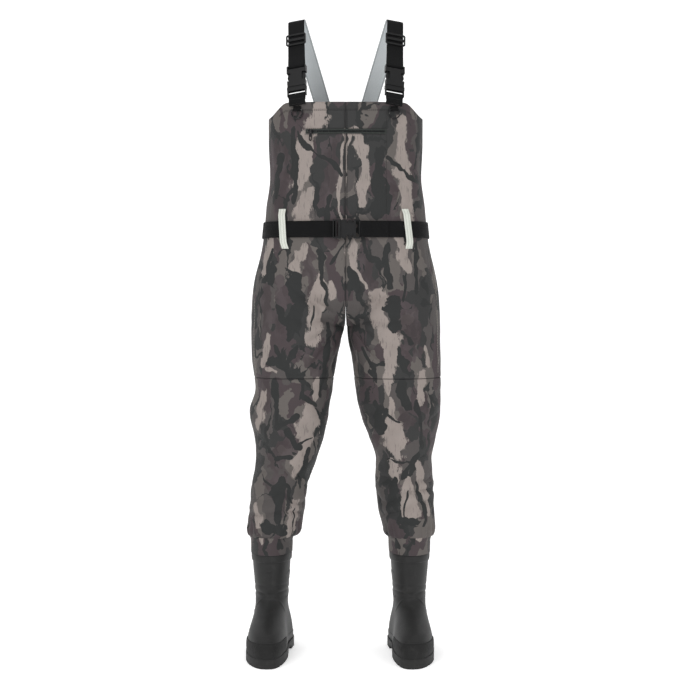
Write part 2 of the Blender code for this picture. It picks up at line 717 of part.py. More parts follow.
def make_zip():
    zip_tape("zip_tape_upper", ZIP_Z + SEAM_GAP / 2, ZIP_Z + ZIP_TAPE)
    zip_tape("zip_tape_lower", ZIP_Z - ZIP_TAPE, ZIP_Z - SEAM_GAP / 2)
    axis = zip_frame()
    closed = math.asin((ZIP_LEFT_X - ZIP_LENGTH + SLIDER_INSET) / zip_radius())
    reach = zip_radius() + LAYER_GAP + 0.0009 + ZIP_CLEARANCE
    at = Matrix.Rotation(closed, 4, "Z") @ Matrix.Translation((0.0, -reach, 0.0))
    width, depth, height = SLIDER_SIZE
    slider_mesh = box_mesh(SLIDER_SIZE, (0.0, -depth / 2, 0.0), "zip_slider")
    slider = add_object("zip_slider", slider_mesh, RING_METAL, axis, matrix=at, smooth=False)
    add_bevel(slider, width * 0.085, 1)
    stub = math.hypot(PULL_STUB, PULL_THICKNESS / 2)
    hinge = at @ Matrix.Translation((0.0, -depth - stub - SEAM_GAP, height * 0.35))
    tab = [(-0.0026, PULL_STUB), (0.0026, PULL_STUB), (0.0034, -0.0210), (0.0020, -0.0245),
           (-0.0020, -0.0245), (-0.0034, -0.0210)]
    slot = [(-0.0013, -0.0160), (0.0013, -0.0160), (0.0013, -0.0215), (-0.0013, -0.0215)]
    stand = Matrix.Rotation(math.pi / 2, 4, "X")
    outline_object("zip_pull", [tab, slot], PULL_THICKNESS, RING_METAL, axis, hinge @ stand)


# ---------------------------------------------------------------- side-release buckles
# A buckle's own frame: X across the webbing, Z along it from the insert to the housing, -Y outward.
STAND_UP = Matrix.Rotation(math.pi / 2, 4, "X")     # a flat outline's XY plane becomes the XZ plane
BAR_HALF = 0.0016          # webbing bars, half thickness
SLOT_HEIGHT = 0.0064
SLOT_CLEARANCE = 0.0006    # webbing slots, each side of the webbing
BAR_HEIGHT = 0.0045
CAVITY_HALF = 0.0033
PRONG_ROOT = 0.0115        # hinge of each sprung arm, from the buckle's middle
PRONG_TIP_SHARE = 0.62     # share of the housing's length that the arms reach


def along(distance, depth=0.0, across=0.0):
    return Matrix.Translation((across, depth, distance))


def boxes_mesh(boxes, name):
    """Disjoint boxes given as (size, centre)."""
    build = bmesh.new()
    for size, centre in boxes:
        matrix = Matrix.Translation(centre) @ Matrix.Diagonal((*size, 1.0))
        bmesh.ops.create_cube(build, size=1.0, matrix=matrix)
    mesh = bpy.data.meshes.new(name)
    build.to_mesh(mesh)
    build.free()
    return mesh


def plate_mesh_object(name, outlines, thickness, material, parent, matrix):
    return mesh_of_curve(outline_object(name, outlines, thickness, material, parent, matrix @ STAND_UP))


def buckle_housing(name, frame, start, size):
    """The socket half: a hollow case with side windows and a webbing bar at its far end."""
    width, length, thickness, web = size["width"], size["housing"], size["thickness"], size["webbing"]
    half, mouth, corner = width / 2, width / 2 - 0.0015, 0.004
    outline = [
        (-mouth, 0.0), (mouth, 0.0), (half, length * 0.66), (half, length - corner),
        (half - corner, length), (-half + corner, length), (-half, length - corner), (-half, length * 0.66),
    ]
    housing = plate_mesh_object(name, [outline], thickness, BUCKLE_PLASTIC, frame, along(start))
    web_slot = web + 2 * SLOT_CLEARANCE
    window_low, window_high = length * 0.26, length * PRONG_TIP_SHARE
    window = (half - 0.0125, thickness + 0.002, window_high - window_low)
    window_x = half - window[0] / 2 + 0.001
    window_z = (window_low + window_high) / 2
    slot_z = length - BAR_HEIGHT - SLOT_HEIGHT / 2 - 0.0005
    recess = (web_slot, thickness / 2 - BAR_HALF + 0.001, BAR_HEIGHT + 0.0015)
    recess_y = BAR_HALF + recess[1] / 2
    recess_z = length - recess[2] / 2 + 0.0005
    # The curve object stood up by a quarter turn, so its cutters lie in the same turned frame.
    groups = [
        [((2 * half - 0.0115, 2 * CAVITY_HALF, window_high + 0.002), (0.0, 0.0, window_high / 2 - 0.001))],
        [(window, (side * window_x, 0.0, window_z)) for side in (-1, 1)],
        [((web_slot, thickness + 0.002, SLOT_HEIGHT), (0.0, 0.0, slot_z))],
        [(recess, (0.0, side * recess_y, recess_z)) for side in (-1, 1)],
    ]
    for group in groups:
        mesh = boxes_mesh(group, name + "_cut")
        mesh.transform(STAND_UP.inverted())
        cut(housing, mesh)
    return housing


def buckle_insert(name, frame, size, ladder=False):
    """The plug half: a base with its webbing slot, or a ladder lock, and a middle tongue."""
    width, length, thickness, web = size["width"], size["insert"], size["base"], size["webbing"]
    half = width / 2
    waist = half - 0.0007
    outline = [(-waist, 0.0), (waist, 0.0), (waist, length * 0.55), (half, length * 0.72), (half, length),
               (-half, length), (-half, length * 0.72), (-waist, length * 0.55)]
    if not ladder:
        low, high = BAR_HEIGHT, BAR_HEIGHT + size["gap"]
        slot = web / 2 + SLOT_CLEARANCE
        slots = [[(-slot, low), (slot, low), (slot, high), (-slot, high)]]
    else:
        slots = [[(-web / 2, low), (web / 2, low), (web / 2, low + 0.0034), (-web / 2, low + 0.0034)]
                 for low in (0.0024, 0.0082)]
    insert = plate_mesh_object(name, [outline, *slots], thickness, BUCKLE_PLASTIC, frame, along(0.0))
    tongue = box_mesh((0.0095, 0.0042, size["housing"] * 0.55 + 0.002),
                      (0.0, 0.0, length + size["housing"] * 0.275 - 0.001), name + "_tongue")
    tongue.transform(STAND_UP.inverted())
    cut(insert, tongue, operation="UNION")
    if not ladder:
        recess = (web + 2 * SLOT_CLEARANCE, thickness / 2 - BAR_HALF + 0.001, BAR_HEIGHT + 0.0015)
        places = [(0.0, side * (BAR_HALF + recess[1] / 2), recess[2] / 2 - 0.001) for side in (-1, 1)]
        mesh = boxes_mesh([(recess, place) for place in places], name + "_recess")
        mesh.transform(STAND_UP.inverted())
        cut(insert, mesh)
    return insert


def buckle_prongs(prefix, frame, size):
    """Two sprung arms whose outer pads fill the housing's windows."""
    length, housing = size["insert"], size["housing"]
    half = size["width"] / 2
    pad_low = length + housing * 0.26 + 0.001 - (length + 0.0015)
    pad_high = length + housing * PRONG_TIP_SHARE - 0.0008 - (length + 0.0015)
    for label, side in (("left", 1), ("right", -1)):
        outer = half - 0.0012 - PRONG_ROOT
        shape = [(-0.0020, -0.0010), (0.0016, -0.0010), (0.0026, pad_low + 0.0006),
                 (outer - 0.0010, pad_low + 0.0040), (outer, (pad_low + pad_high) / 2),
                 (outer - 0.0020, pad_high),
                 (outer - 0.0062, pad_high), (0.0000, pad_low + 0.004), (-0.0016, pad_low - 0.004)]
        outline = [(side * x, z) for x, z in shape][::side]
        hinge = along(length + 0.0015, 0.0, side * PRONG_ROOT)
        outline_object(prefix + "_" + label + "_prong", [outline], PRONG_THICKNESS, BUCKLE_PLASTIC, frame,
                       hinge @ STAND_UP)


STRAP_BUCKLE = {"width": HOUSING_WIDTH, "housing": HOUSING_LENGTH, "insert": INSERT_LENGTH, "gap": 0.0085,
                "thickness": HOUSING_THICKNESS, "base": 0.0088, "webbing": WEBBING_WIDTH}
BELT_BUCKLE = {"width": BELT_WIDTH + 2 * BUCKLE_RIM, "housing": 0.0440, "insert": 0.0180, "gap": 0.0,
               "thickness": HOUSING_THICKNESS, "base": 0.0060, "webbing": BELT_WIDTH}


# ---------------------------------------------------------------- webbing
def ribbon_outline(path, thickness):
    """The closed outline of a band of even thickness that follows a path in its plane."""
    path = np.asarray(path, dtype=float)
    ahead = np.gradient(path, axis=0)
    ahead /= np.linalg.norm(ahead, axis=1)[:, None]
    normal = np.stack([-ahead[:, 1], ahead[:, 0]], axis=1) * thickness / 2
    return [tuple(p) for p in np.concatenate([path + normal, (path - normal)[::-1]])]


def arc_points(centre, radius, start, end, count):
    angles = np.radians(np.linspace(start, end, count))
    return [(centre[0] + radius * math.cos(a), centre[1] + radius * math.sin(a)) for a in angles]


ACROSS_PLANE = Matrix(((0, 0, 1, 0), (1, 0, 0, 0), (0, 1, 0, 0), (0, 0, 0, 1)))   # outline's x, y become Y, Z


def ribbon_mesh(points, widths, width, name):
    """A flat strip along a path: at each point it spreads along its own width direction."""
    points, widths = np.asarray(points), np.asarray(widths)
    rows = [[p - w * width / 2, p, p + w * width / 2] for p, w in zip(points, widths)]
    return grid_mesh(np.array(rows), name)


# ---------------------------------------------------------------- shoulder straps
def strap_foot(side):
    """Where a strap's plane meets the bib's top edge, on the cloth's outer face, and the cloth's turn there."""
    share = share_at(STRAP_X, TOP_Z)
    angle = np.array((1 - share) * math.pi / 2)
    foot = body_section(side, 1, angle, np.array(TOP_Z), LAYER_GAP)
    nearby = body_section(side, 1, angle - 0.02, np.array(TOP_Z), LAYER_GAP)
    slope = nearby - foot
    return Vector(foot), math.atan2(slope[1], abs(slope[0]))


def frame_from(origin, across, upward):
    """A frame with Z along upward, X close to across, and Y = Z x X."""
    upward = upward.normalized()
    across = (across - across.dot(upward) * upward).normalized()
    matrix = Matrix((across, upward.cross(across), upward)).transposed().to_4x4()
    matrix.translation = origin
    return matrix


def strap_frames(side):
    """Two frames at the strap's foot: one leaning along the strap, one upright on the bib."""
    foot, turn = strap_foot(side)
    sign = SIDES[side]
    across = Vector((math.cos(turn), sign * math.sin(turn), 0.0))
    top = Vector((sign * STRAP_TOP_X, STRAP_TOP_Y, STRAP_TOP_Z - FOLD_RADIUS))
    return frame_from(foot, across, top - foot), frame_from(foot, across, Vector((0.0, 0.0, 1.0))), top


WEB_MIDDLE = -0.0030       # the hardware's middle plane, out from the cloth


def shoulder_strap(side):
    """Webbing sewn inside the back, over the shoulder, and down to the slide adjuster."""
    leaning, _, top = strap_frames(side)
    sign = SIDES[side]
    reach = (top - leaning.translation).length
    middle = leaning.to_3x3() @ Vector((0.0, WEB_MIDDLE, 0.0))
    up, across = leaning.col[2].xyz, leaning.col[0].xyz
    start = leaning.translation + middle + up * (ADJUSTER_START + 0.002)
    crest = leaning.translation + middle + up * reach
    back_angle = math.pi / 2 - math.acos((STRAP_BACK_X / BODY_STATIONS[0][1]) ** (BODY_ROUNDNESS / 2))
    inset = FABRIC + 2 * LAYER_GAP + 0.0008 + 0.0018 + WEBBING / 2
    sewn = Vector(body_section(side, -1, np.array(math.pi / 2 - back_angle), np.array(BACK_TOP_Z), -inset))
    sewn_turn = (STRAP_BACK_X / BODY_STATIONS[0][1]) ** (BODY_ROUNDNESS - 1) * 0.66
    sewn_across = Vector((1.0, -sign * sewn_turn, 0.0)).normalized()
    entry = sewn + Vector((0.0, -0.0012, 0.0060))
    down = (entry - crest).normalized()
    axis = up.cross(down).normalized()
    whole = math.acos(max(-1.0, min(1.0, up.dot(down))))
    centre = crest + axis.cross(up) * FOLD_RADIUS
    points, widths = [start, start.lerp(crest, 0.5)], [across, across]
    for step in range(9):
        turned = Matrix.Rotation(whole * step / 8, 3, axis)
        points.append(centre + turned @ (crest - centre))
        widths.append(turned @ across)
    last, last_width = points[-1], widths[-1]
    for share in (0.25, 0.5, 0.75):
        points.append(last.lerp(entry, share))
        widths.append(last_width.lerp(sewn_across, share).normalized())
    points += [entry, sewn + Vector((0, -0.0002, -0.002)), sewn + Vector((0.0, 0.0, -0.030))]
    widths += [sewn_across] * 3
    mesh = ribbon_mesh(points, widths, WEBBING_WIDTH, side + "_shoulder_strap")
    strap = add_object(side + "_shoulder_strap", mesh, GREY_WEBBING)
    add_wall(strap, WEBBING, offset=0.0)
    return strap


def buckle_loop(side, frame):
    """The webbing that loops round the housing's bar and runs up to the slide adjuster."""
    bar = BUCKLE_START + INSERT_LENGTH + SEAM_GAP + HOUSING_LENGTH - BAR_HEIGHT / 2 - 0.0005
    bend = BAR_HALF + 0.0006 + WEBBING / 2
    top = ADJUSTER_START - 0.0012
    near = 0.0014
    path = [(-near, top), (-near - 0.0002, (top + bar) / 2), (-bend, bar + 0.0035)]
    path += arc_points((0.0, bar - 0.0012), bend, 180.0, 360.0, 9)
    path += [(bend, bar + 0.0035), (near + 0.0002, (top + bar) / 2), (near, top)]
    outline = ribbon_outline(path, WEBBING)
    outline = [(y + WEB_MIDDLE, z) for y, z in outline]
    return outline_object(side + "_buckle_loop", [outline], WEBBING_WIDTH, BLACK_WEBBING, frame, ACROSS_PLANE)


def slide_adjuster(side, frame):
    """A three-bar slide that grips the strap; its plate lies in front of the webbing."""
    half, length = ADJUSTER_WIDTH / 2, ADJUSTER_LENGTH
    corner = 0.003
    outline = [(-half + corner, 0.0), (half - corner, 0.0), (half, corner), (half, length - corner),
               (half - corner, length), (-half + corner, length), (-half, length - corner),
               (-half, corner)]
    web = WEBBING_WIDTH / 2 + 0.001
    slots = [[(-web, z), (web, z), (web, z + 0.0075), (-web, z + 0.0075)] for z in (0.0040, 0.0175)]
    depth = WEB_MIDDLE - WEBBING / 2 - LAYER_GAP - ADJUSTER_THICKNESS / 2
    return outline_object(side + "_slide_adjuster", [outline, *slots], ADJUSTER_THICKNESS, BUCKLE_PLASTIC, frame,
                          along(ADJUSTER_START, depth) @ STAND_UP)


def bib_tab(side, line, lean):
    """Doubled webbing from the insert's bar, over the top edge, sewn down on the bib's front."""
    bar = BUCKLE_START + BAR_HEIGHT / 2
    bend = BAR_HALF + 0.0006 + WEBBING / 2
    eye = arc_points((WEB_MIDDLE, bar + 0.0014), bend + WEBBING / 2, 200.0, -20.0, 11)
    half = WEBBING + 0.0001
    back_low, front_low = (WEB_MIDDLE + half, 0.0035), (WEB_MIDDLE - half, 0.0015)
    drop = 0.0085
    down = (math.sin(lean), -math.cos(lean))
    inner = (WEB_MIDDLE + half + down[0] * drop, down[1] * drop)
    outer = (WEB_MIDDLE - half + down[0] * drop, down[1] * drop)
    outline = [*eye, (WEB_MIDDLE + half, 0.0060), back_low, (WEB_MIDDLE + half, 0.0), inner, outer,
               (WEB_MIDDLE - half, 0.0), front_low, (WEB_MIDDLE - half, 0.0060)]
    hole = arc_points((WEB_MIDDLE, bar + 0.0012), bend - WEBBING / 2, 180.0, 0.0, 7)
    hole += [(WEB_MIDDLE + bend - WEBBING / 2, bar - 0.0030), (WEB_MIDDLE - bend + WEBBING / 2, bar - 0.0030)]
    return outline_object(side + "_bib_tab", [outline, hole], WEBBING_WIDTH, BLACK_WEBBING, line, ACROSS_PLANE)


RING_BAR_DROP = 0.0172     # D-ring's bar below the bib's top edge
KEEPER_WALL = 0.0014


def ring_bar_place():
    """The D-ring's bar in the upright frame: how far out from the cloth, which flares, and how far down."""
    flare = between(BODY_STATIONS, TOP_Z - RING_BAR_DROP)[1] - between(BODY_STATIONS, TOP_Z)[1]
    return -(RING_WIRE + 0.0004 + KEEPER_WALL + LAYER_GAP + float(flare)), -RING_BAR_DROP


def ring_keeper(side, upright):
    """The narrow loop, sewn under the tab, that holds the D-ring's bar."""
    radius = RING_WIRE + 0.0004 + KEEPER_WALL
    centre = ring_bar_place()
    inner = centre[0] + radius
    outer = [(inner, -0.0100), (inner, centre[1])]
    outer += arc_points(centre, radius, -30.0, -270.0, 11)[1:]
    outer += [(centre[0] + 0.0010, centre[1] + radius), (inner - 0.0020, -0.0100)]
    hole = arc_points(centre, radius - KEEPER_WALL, 0.0, 315.0, 8)
    return outline_object(side + "_ring_keeper", [outer, hole], RING_WIDTH - 2 * RING_WIRE - 0.0040,
                          BLACK_WEBBING, upright, ACROSS_PLANE)


def d_ring(side, upright):
    """A wire ring: a straight bar in the keeper and a round bow below; it swings about the bar."""
    out, drop = ring_bar_place()
    at = Matrix.Translation((0.0, out, drop))
    half = RING_WIDTH / 2
    curve = bpy.data.curves.new(side + "_d_ring", "CURVE")
    curve.dimensions = "3D"
    curve.fill_mode = "FULL"
    curve.bevel_depth = RING_WIRE
    curve.bevel_resolution = 2
    curve.render_resolution_u = 0
    bow = [(half * math.cos(a), -(RING_DROP - half) - half * math.sin(a))
           for a in np.linspace(0.0, math.pi, 13)]
    path = [(-half + 0.0012, 0.0), (half - 0.0012, 0.0), (half, -0.0012), *bow, (-half, -0.0012)]
    spline = curve.splines.new("POLY")
    spline.points.add(len(path) - 1)
    for point, (x, z) in zip(spline.points, path):
        point.co = (x, 0.0, z, 1.0)
    spline.use_cyclic_u = True
    return add_object(side + "_d_ring", curve, RING_METAL, upright, matrix=at)


def make_strap(side):
    leaning, upright, _ = strap_frames(side)
    line = add_empty(side + "_strap_line", ASSEMBLY, leaning)
    foot = add_empty(side + "_strap_foot", ASSEMBLY, upright)
    shoulder_strap(side)
    buckle_loop(side, line)
    slide_adjuster(side, line)
    buckle = add_empty(side + "_buckle_frame", line, along(BUCKLE_START, WEB_MIDDLE))
    buckle_insert(side + "_buckle_insert", buckle, STRAP_BUCKLE)
    buckle_housing(side + "_buckle_housing", buckle, INSERT_LENGTH + SEAM_GAP, STRAP_BUCKLE)
    buckle_prongs(side + "_buckle", buckle, STRAP_BUCKLE)
    bib_tab(side, line, math.acos(leaning.col[2].z))
    ring_keeper(side, foot)
    d_ring(side, foot)


# ---------------------------------------------------------------- belt buckle
BELT_BUCKLE_START = -0.0285


def make_belt_buckle():
    """The belt's buckle lies flat on the webbing, plug towards the wearer's right."""
    half_depth, centre = between(BODY_STATIONS, BELT_Z)[1:]
    front = float(centre - half_depth) - BELT_STANDOFF - BELT_THICKNESS
    depth = front - HOUSING_THICKNESS / 2 - 0.0008
    turn = Matrix(((0, 0, 1, 0), (0, 1, 0, 0), (-1, 0, 0, 0), (0, 0, 0, 1)))
    place = Matrix.Translation((BELT_BUCKLE_START, depth, BELT_Z))
    frame = add_empty("belt_buckle_frame", ASSEMBLY, place @ turn)
    buckle_insert("belt_buckle_insert", frame, BELT_BUCKLE, ladder=True)
    buckle_housing("belt_buckle_housing", frame, BELT_BUCKLE["insert"] + SEAM_GAP, BELT_BUCKLE)
    buckle_prongs("belt_buckle", frame, BELT_BUCKLE)


# ---------------------------------------------------------------- assembly
def stand_on_origin():
    """Put the middle of the whole piece's footprint over the origin, with the soles on the floor."""
    bpy.context.view_layer.update()
    graph = bpy.context.evaluated_depsgraph_get()
    low, high = np.full(3, np.inf), np.full(3, -np.inf)
    for obj in PARTS.objects:
        if obj.type not in {"MESH", "CURVE"}:
            continue
        evaluated = obj.evaluated_get(graph)
        mesh = evaluated.to_mesh()
        points = np.empty(len(mesh.vertices) * 3)
        mesh.vertices.foreach_get("co", points)
        turned = np.array(obj.matrix_world)
        points = points.reshape(-1, 3) @ turned[:3, :3].T + turned[:3, 3]
        low, high = np.minimum(low, points.min(axis=0)), np.maximum(high, points.max(axis=0))
        evaluated.to_mesh_clear()
    ASSEMBLY.location = (-(low[0] + high[0]) / 2, -(low[1] + high[1]) / 2, -low[2])
    bpy.context.view_layer.update()


def build():
    for side in SIDES:
        upper_panel(side, 1, side + "_front_panel")
        upper_panel(side, -1, side + "_back_panel")
        lower_panel(side, 1, side + "_front_leg_panel")
        lower_panel(side, -1, side + "_back_leg_panel")
        side_tape(side, side + "_side_seam_tape")
        make_boot(side)
        make_strap(side)
    centre_tape(1, "front_seam_tape")
    centre_tape(-1, "back_seam_tape")
    hem_facing()
    pocket_bag()
    make_zip()
    belt_webbing()
    make_belt_buckle()
    belt_loop("right_front_belt_loop", "right", 1, 0.1395, 0.1350, PALE_WEBBING)
    belt_loop("left_front_belt_loop", "left", 1, 0.1306, 0.1410, PALE_WEBBING)
    belt_loop("right_back_belt_loop", "right", -1, 0.1100, 0.1100, PALE_WEBBING)
    belt_loop("left_back_belt_loop", "left", -1, 0.1100, 0.1100, PALE_WEBBING)
    stand_on_origin()


build()
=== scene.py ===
# %% [markdown]
# # Chest waders with rubber boots
# A wader is a bib and two legs of laminated cloth, welded to a pair of boots, with a belt round the waist and
# webbing straps over the shoulders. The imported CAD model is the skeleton: it gives every place and size.
# This lesson dresses it: fine cloth with folds, a printed camouflage, rubber boots, webbing and moulded buckles.

# %% Load the frame
import math

import bmesh
import bpy
import numpy as np
from mathutils import Matrix, Vector


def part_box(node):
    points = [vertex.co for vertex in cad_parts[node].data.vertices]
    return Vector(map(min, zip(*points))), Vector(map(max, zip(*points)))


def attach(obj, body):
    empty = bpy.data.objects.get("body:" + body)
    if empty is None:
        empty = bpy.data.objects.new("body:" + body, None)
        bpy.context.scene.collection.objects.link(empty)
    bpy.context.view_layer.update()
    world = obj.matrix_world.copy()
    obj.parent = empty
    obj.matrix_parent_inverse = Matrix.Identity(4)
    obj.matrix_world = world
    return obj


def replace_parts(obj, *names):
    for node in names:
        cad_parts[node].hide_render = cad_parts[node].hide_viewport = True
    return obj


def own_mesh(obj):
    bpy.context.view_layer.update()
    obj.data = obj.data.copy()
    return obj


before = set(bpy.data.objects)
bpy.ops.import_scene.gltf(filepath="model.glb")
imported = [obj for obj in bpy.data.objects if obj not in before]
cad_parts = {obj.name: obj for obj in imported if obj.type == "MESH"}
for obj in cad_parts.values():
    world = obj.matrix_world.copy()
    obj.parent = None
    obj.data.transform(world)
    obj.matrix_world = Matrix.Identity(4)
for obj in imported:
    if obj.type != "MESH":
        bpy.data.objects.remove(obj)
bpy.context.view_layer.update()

SIDES = {"left": 1.0, "right": -1.0}
belt_low, belt_high = (np.array(corner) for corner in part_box("belt_webbing"))
MIDDLE_X = float(belt_low[0] + belt_high[0]) / 2
MIDDLE_Y = float(belt_low[1] + belt_high[1]) / 2
BELT_Z = float(belt_low[2] + belt_high[2]) / 2
print("nodes", len(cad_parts), "middle of the body", round(MIDDLE_X, 4), round(MIDDLE_Y, 4), "belt", BELT_Z)

# %% [markdown]
# ## The view
# A long lens from about hip height keeps the body's proportions, as in a shop's picture. The camera comes first,
# because every piece is judged through it. It looks down by two degrees, so that belt and boots are both level.

# %% Camera
CAMERA_DISTANCE = 3.50
CAMERA_Z = 0.84
LENS_MM = 79.8
camera_data = bpy.data.cameras.new("camera")
camera_data.lens = LENS_MM
camera_data.sensor_width = 36.0
camera = bpy.data.objects.new("camera", camera_data)
camera.location = (MIDDLE_X - 0.0016, MIDDLE_Y - CAMERA_DISTANCE, CAMERA_Z)
camera.rotation_euler = (math.radians(90.0 - 2.3), 0.0, 0.0)
bpy.context.scene.collection.objects.link(camera)
bpy.context.scene.camera = camera
print("camera", tuple(round(v, 3) for v in camera.location))

# %% [markdown]
# ## Studio
# The floor is one pale sheet that curves up behind the boots, so that there is no horizon line. A profile is
# carried along X: flat, a quarter circle, then upright. Three big soft lamps and a white surround give a mild
# shade at the sides of the legs and almost none elsewhere.

# %% Floor and lamps
def grid_faces(rows, columns, wrap=False):
    """Quads between neighbours of a grid of points, row by row; wrap joins the last column to the first."""
    index = np.arange(rows * columns).reshape(rows, columns)
    if wrap:
        index = np.concatenate([index, index[:, :1]], axis=1)
    low, high = index[:-1], index[1:]
    return np.stack([low[:, :-1], low[:, 1:], high[:, 1:], high[:, :-1]], axis=-1).reshape(-1, 4)


def make_mesh(name, points, faces):
    """A mesh from arrays of points and of four-cornered faces."""
    mesh = bpy.data.meshes.new(name)
    mesh.from_pydata(np.asarray(points, float).reshape(-1, 3).tolist(), [], np.asarray(faces).tolist())
    mesh.update()
    return mesh


def add_object(name, mesh, *materials):
    """Link a mesh at the origin with its materials, shaded smooth."""
    obj = bpy.data.objects.new(name, mesh)
    bpy.context.scene.collection.objects.link(obj)
    for material in materials:
        mesh.materials.append(material)
    mesh.shade_smooth()
    return obj


def floor_profile(run, radius=0.9, flat=9.0):
    """(y, z) along the sheet: flat up to the bend, then a quarter circle, then straight up."""
    bend = radius * math.pi / 2
    turn = np.clip((run - flat) / bend, 0.0, 1.0) * math.pi / 2
    y = np.minimum(run, flat) + radius * np.sin(turn)
    z = radius * (1 - np.cos(turn)) + np.maximum(run - flat - bend, 0.0)
    return y, z


FLOOR_FRONT = 5.0       # how far the paper reaches in front of the boots
FLOOR_GAP = 0.0002      # the paper lies this far under the soles
run = np.concatenate([[0.0], np.linspace(9.0, 10.5, 24), [15.0]])
floor_y, floor_z = floor_profile(run)
across = np.array([-8.0, 8.0])
floor_rows = floor_y[:, None] - FLOOR_FRONT, floor_z[:, None] - FLOOR_GAP
sheet_points = np.stack(np.broadcast_arrays(across[None, :], *floor_rows), axis=-1)
floor_material = bpy.data.materials.new("studio_paper")
floor_material.use_nodes = True
floor_shader = floor_material.node_tree.nodes["Principled BSDF"]
floor_shader.inputs["Base Color"].default_value = (0.97, 0.97, 0.97, 1.0)
floor_shader.inputs["Roughness"].default_value = 0.9
floor_shader.inputs["Emission Color"].default_value = (1.0, 1.0, 1.0, 1.0)
floor_shader.inputs["Emission Strength"].default_value = 0.32
floor_mesh = make_mesh("studio_floor", sheet_points, grid_faces(len(run), 2))
floor = add_object("studio_floor", floor_mesh, floor_material)


def add_lamp(name, place, target, size, watts):
    """A square soft lamp that looks at a point."""
    data = bpy.data.lights.new(name, "AREA")
    data.size = size
    data.energy = watts
    lamp = bpy.data.objects.new(name, data)
    lamp.location = place
    lamp.rotation_euler = (Vector(target) - Vector(place)).to_track_quat("-Z", "Y").to_euler()
    bpy.context.scene.collection.objects.link(lamp)


add_lamp("key_lamp", (-1.6, -2.8, 2.5), (0.0, 0.0, 0.75), 1.8, 50.0)
add_lamp("fill_lamp", (2.0, -2.6, 1.5), (0.0, 0.0, 0.7), 1.8, 24.0)
add_lamp("top_lamp", (0.0, 0.6, 3.2), (0.0, 0.0, 0.8), 2.2, 22.0)
world = bpy.data.worlds.new("studio")
world.use_nodes = True
world.node_tree.nodes["Background"].inputs["Color"].default_value = (1.0, 1.0, 1.0, 1.0)
world.node_tree.nodes["Background"].inputs["Strength"].default_value = 0.60
bpy.context.scene.world = world
bpy.context.scene.view_settings.view_transform = "Standard"
print("floor and", len(bpy.data.lights), "lamps")

# %% [markdown]
# ## The body's form
# A tailor thinks in girths. Here each girth is a superellipse, a rounded rectangle, at a height, and a smooth
# curve runs through the girths. The bib and hips have one section, each leg has its own, and between hip and
# crotch one blends into the other. The numbers are the waders' driving dimensions, half widths and half depths.

# %% Girths
FABRIC = 0.0018
TOP_Z, CORNER_DROP, BACK_DROP = 1.240, 0.030, 0.018
CROTCH_Z, RISE, HIP = 0.742, 0.110, 0.200
KNEE_Z, HEM_Z, CUFF_TOP_Z, CUFF_BOTTOM_Z = 0.628, 0.262, 0.254, 0.2235
STRAP_X, ZIP_Z, ZIP_END_X, ZIP_LENGTH = 0.106, 1.175, 0.090, 0.178
BODY_ROUNDNESS = 2.8
ORIGIN = np.array([MIDDLE_X, MIDDLE_Y - 0.004, 0.0])
# height, half width, half depth, centre depth
BODY_GIRTHS = [
    (1.260, 0.1750, 0.1150, 0.004), (1.160, 0.1745, 0.1195, 0.004), (1.080, 0.1715, 0.1205, 0.004),
    (1.010, 0.1800, 0.1230, 0.004), (0.960, 0.1850, 0.1250, 0.004), (0.900, 0.1915, 0.1280, 0.004),
    (0.840, 0.2030, 0.1290, 0.004), (0.780, 0.2120, 0.1260, 0.004), (0.700, 0.2160, 0.1200, 0.004),
]
# height, centre from the body's middle, half width, half depth, centre depth
LEG_GIRTHS = {
    "right": [
        (0.780, -0.1080, 0.1070, 0.1150, 0.004), (0.742, -0.1095, 0.1065, 0.1120, 0.002),
        (0.714, -0.1130, 0.1020, 0.1080, 0.000), (0.660, -0.1170, 0.0950, 0.1000, -0.004),
        (0.603, -0.1180, 0.0880, 0.0920, -0.008), (0.548, -0.1290, 0.0910, 0.0900, -0.006),
        (0.493, -0.1290, 0.0800, 0.0840, 0.000), (0.438, -0.1360, 0.0700, 0.0800, 0.008),
        (0.382, -0.1510, 0.0635, 0.0780, 0.014), (0.327, -0.1580, 0.0625, 0.0750, 0.016),
        (0.280, -0.1650, 0.0620, 0.0730, 0.016),
    ],
    "left": [
        (0.780, 0.1080, 0.1070, 0.1150, 0.004), (0.742, 0.1095, 0.1065, 0.1120, 0.002),
        (0.714, 0.1110, 0.1050, 0.1080, 0.000), (0.660, 0.1170, 0.1000, 0.1000, -0.004),
        (0.603, 0.1190, 0.0970, 0.0940, -0.008), (0.548, 0.1240, 0.0910, 0.0900, -0.006),
        (0.493, 0.1290, 0.0770, 0.0840, 0.000), (0.438, 0.1340, 0.0640, 0.0800, 0.008),
        (0.382, 0.1360, 0.0665, 0.0780, 0.014), (0.327, 0.1400, 0.0640, 0.0750, 0.016),
        (0.280, 0.1470, 0.0600, 0.0730, 0.016),
    ],
}


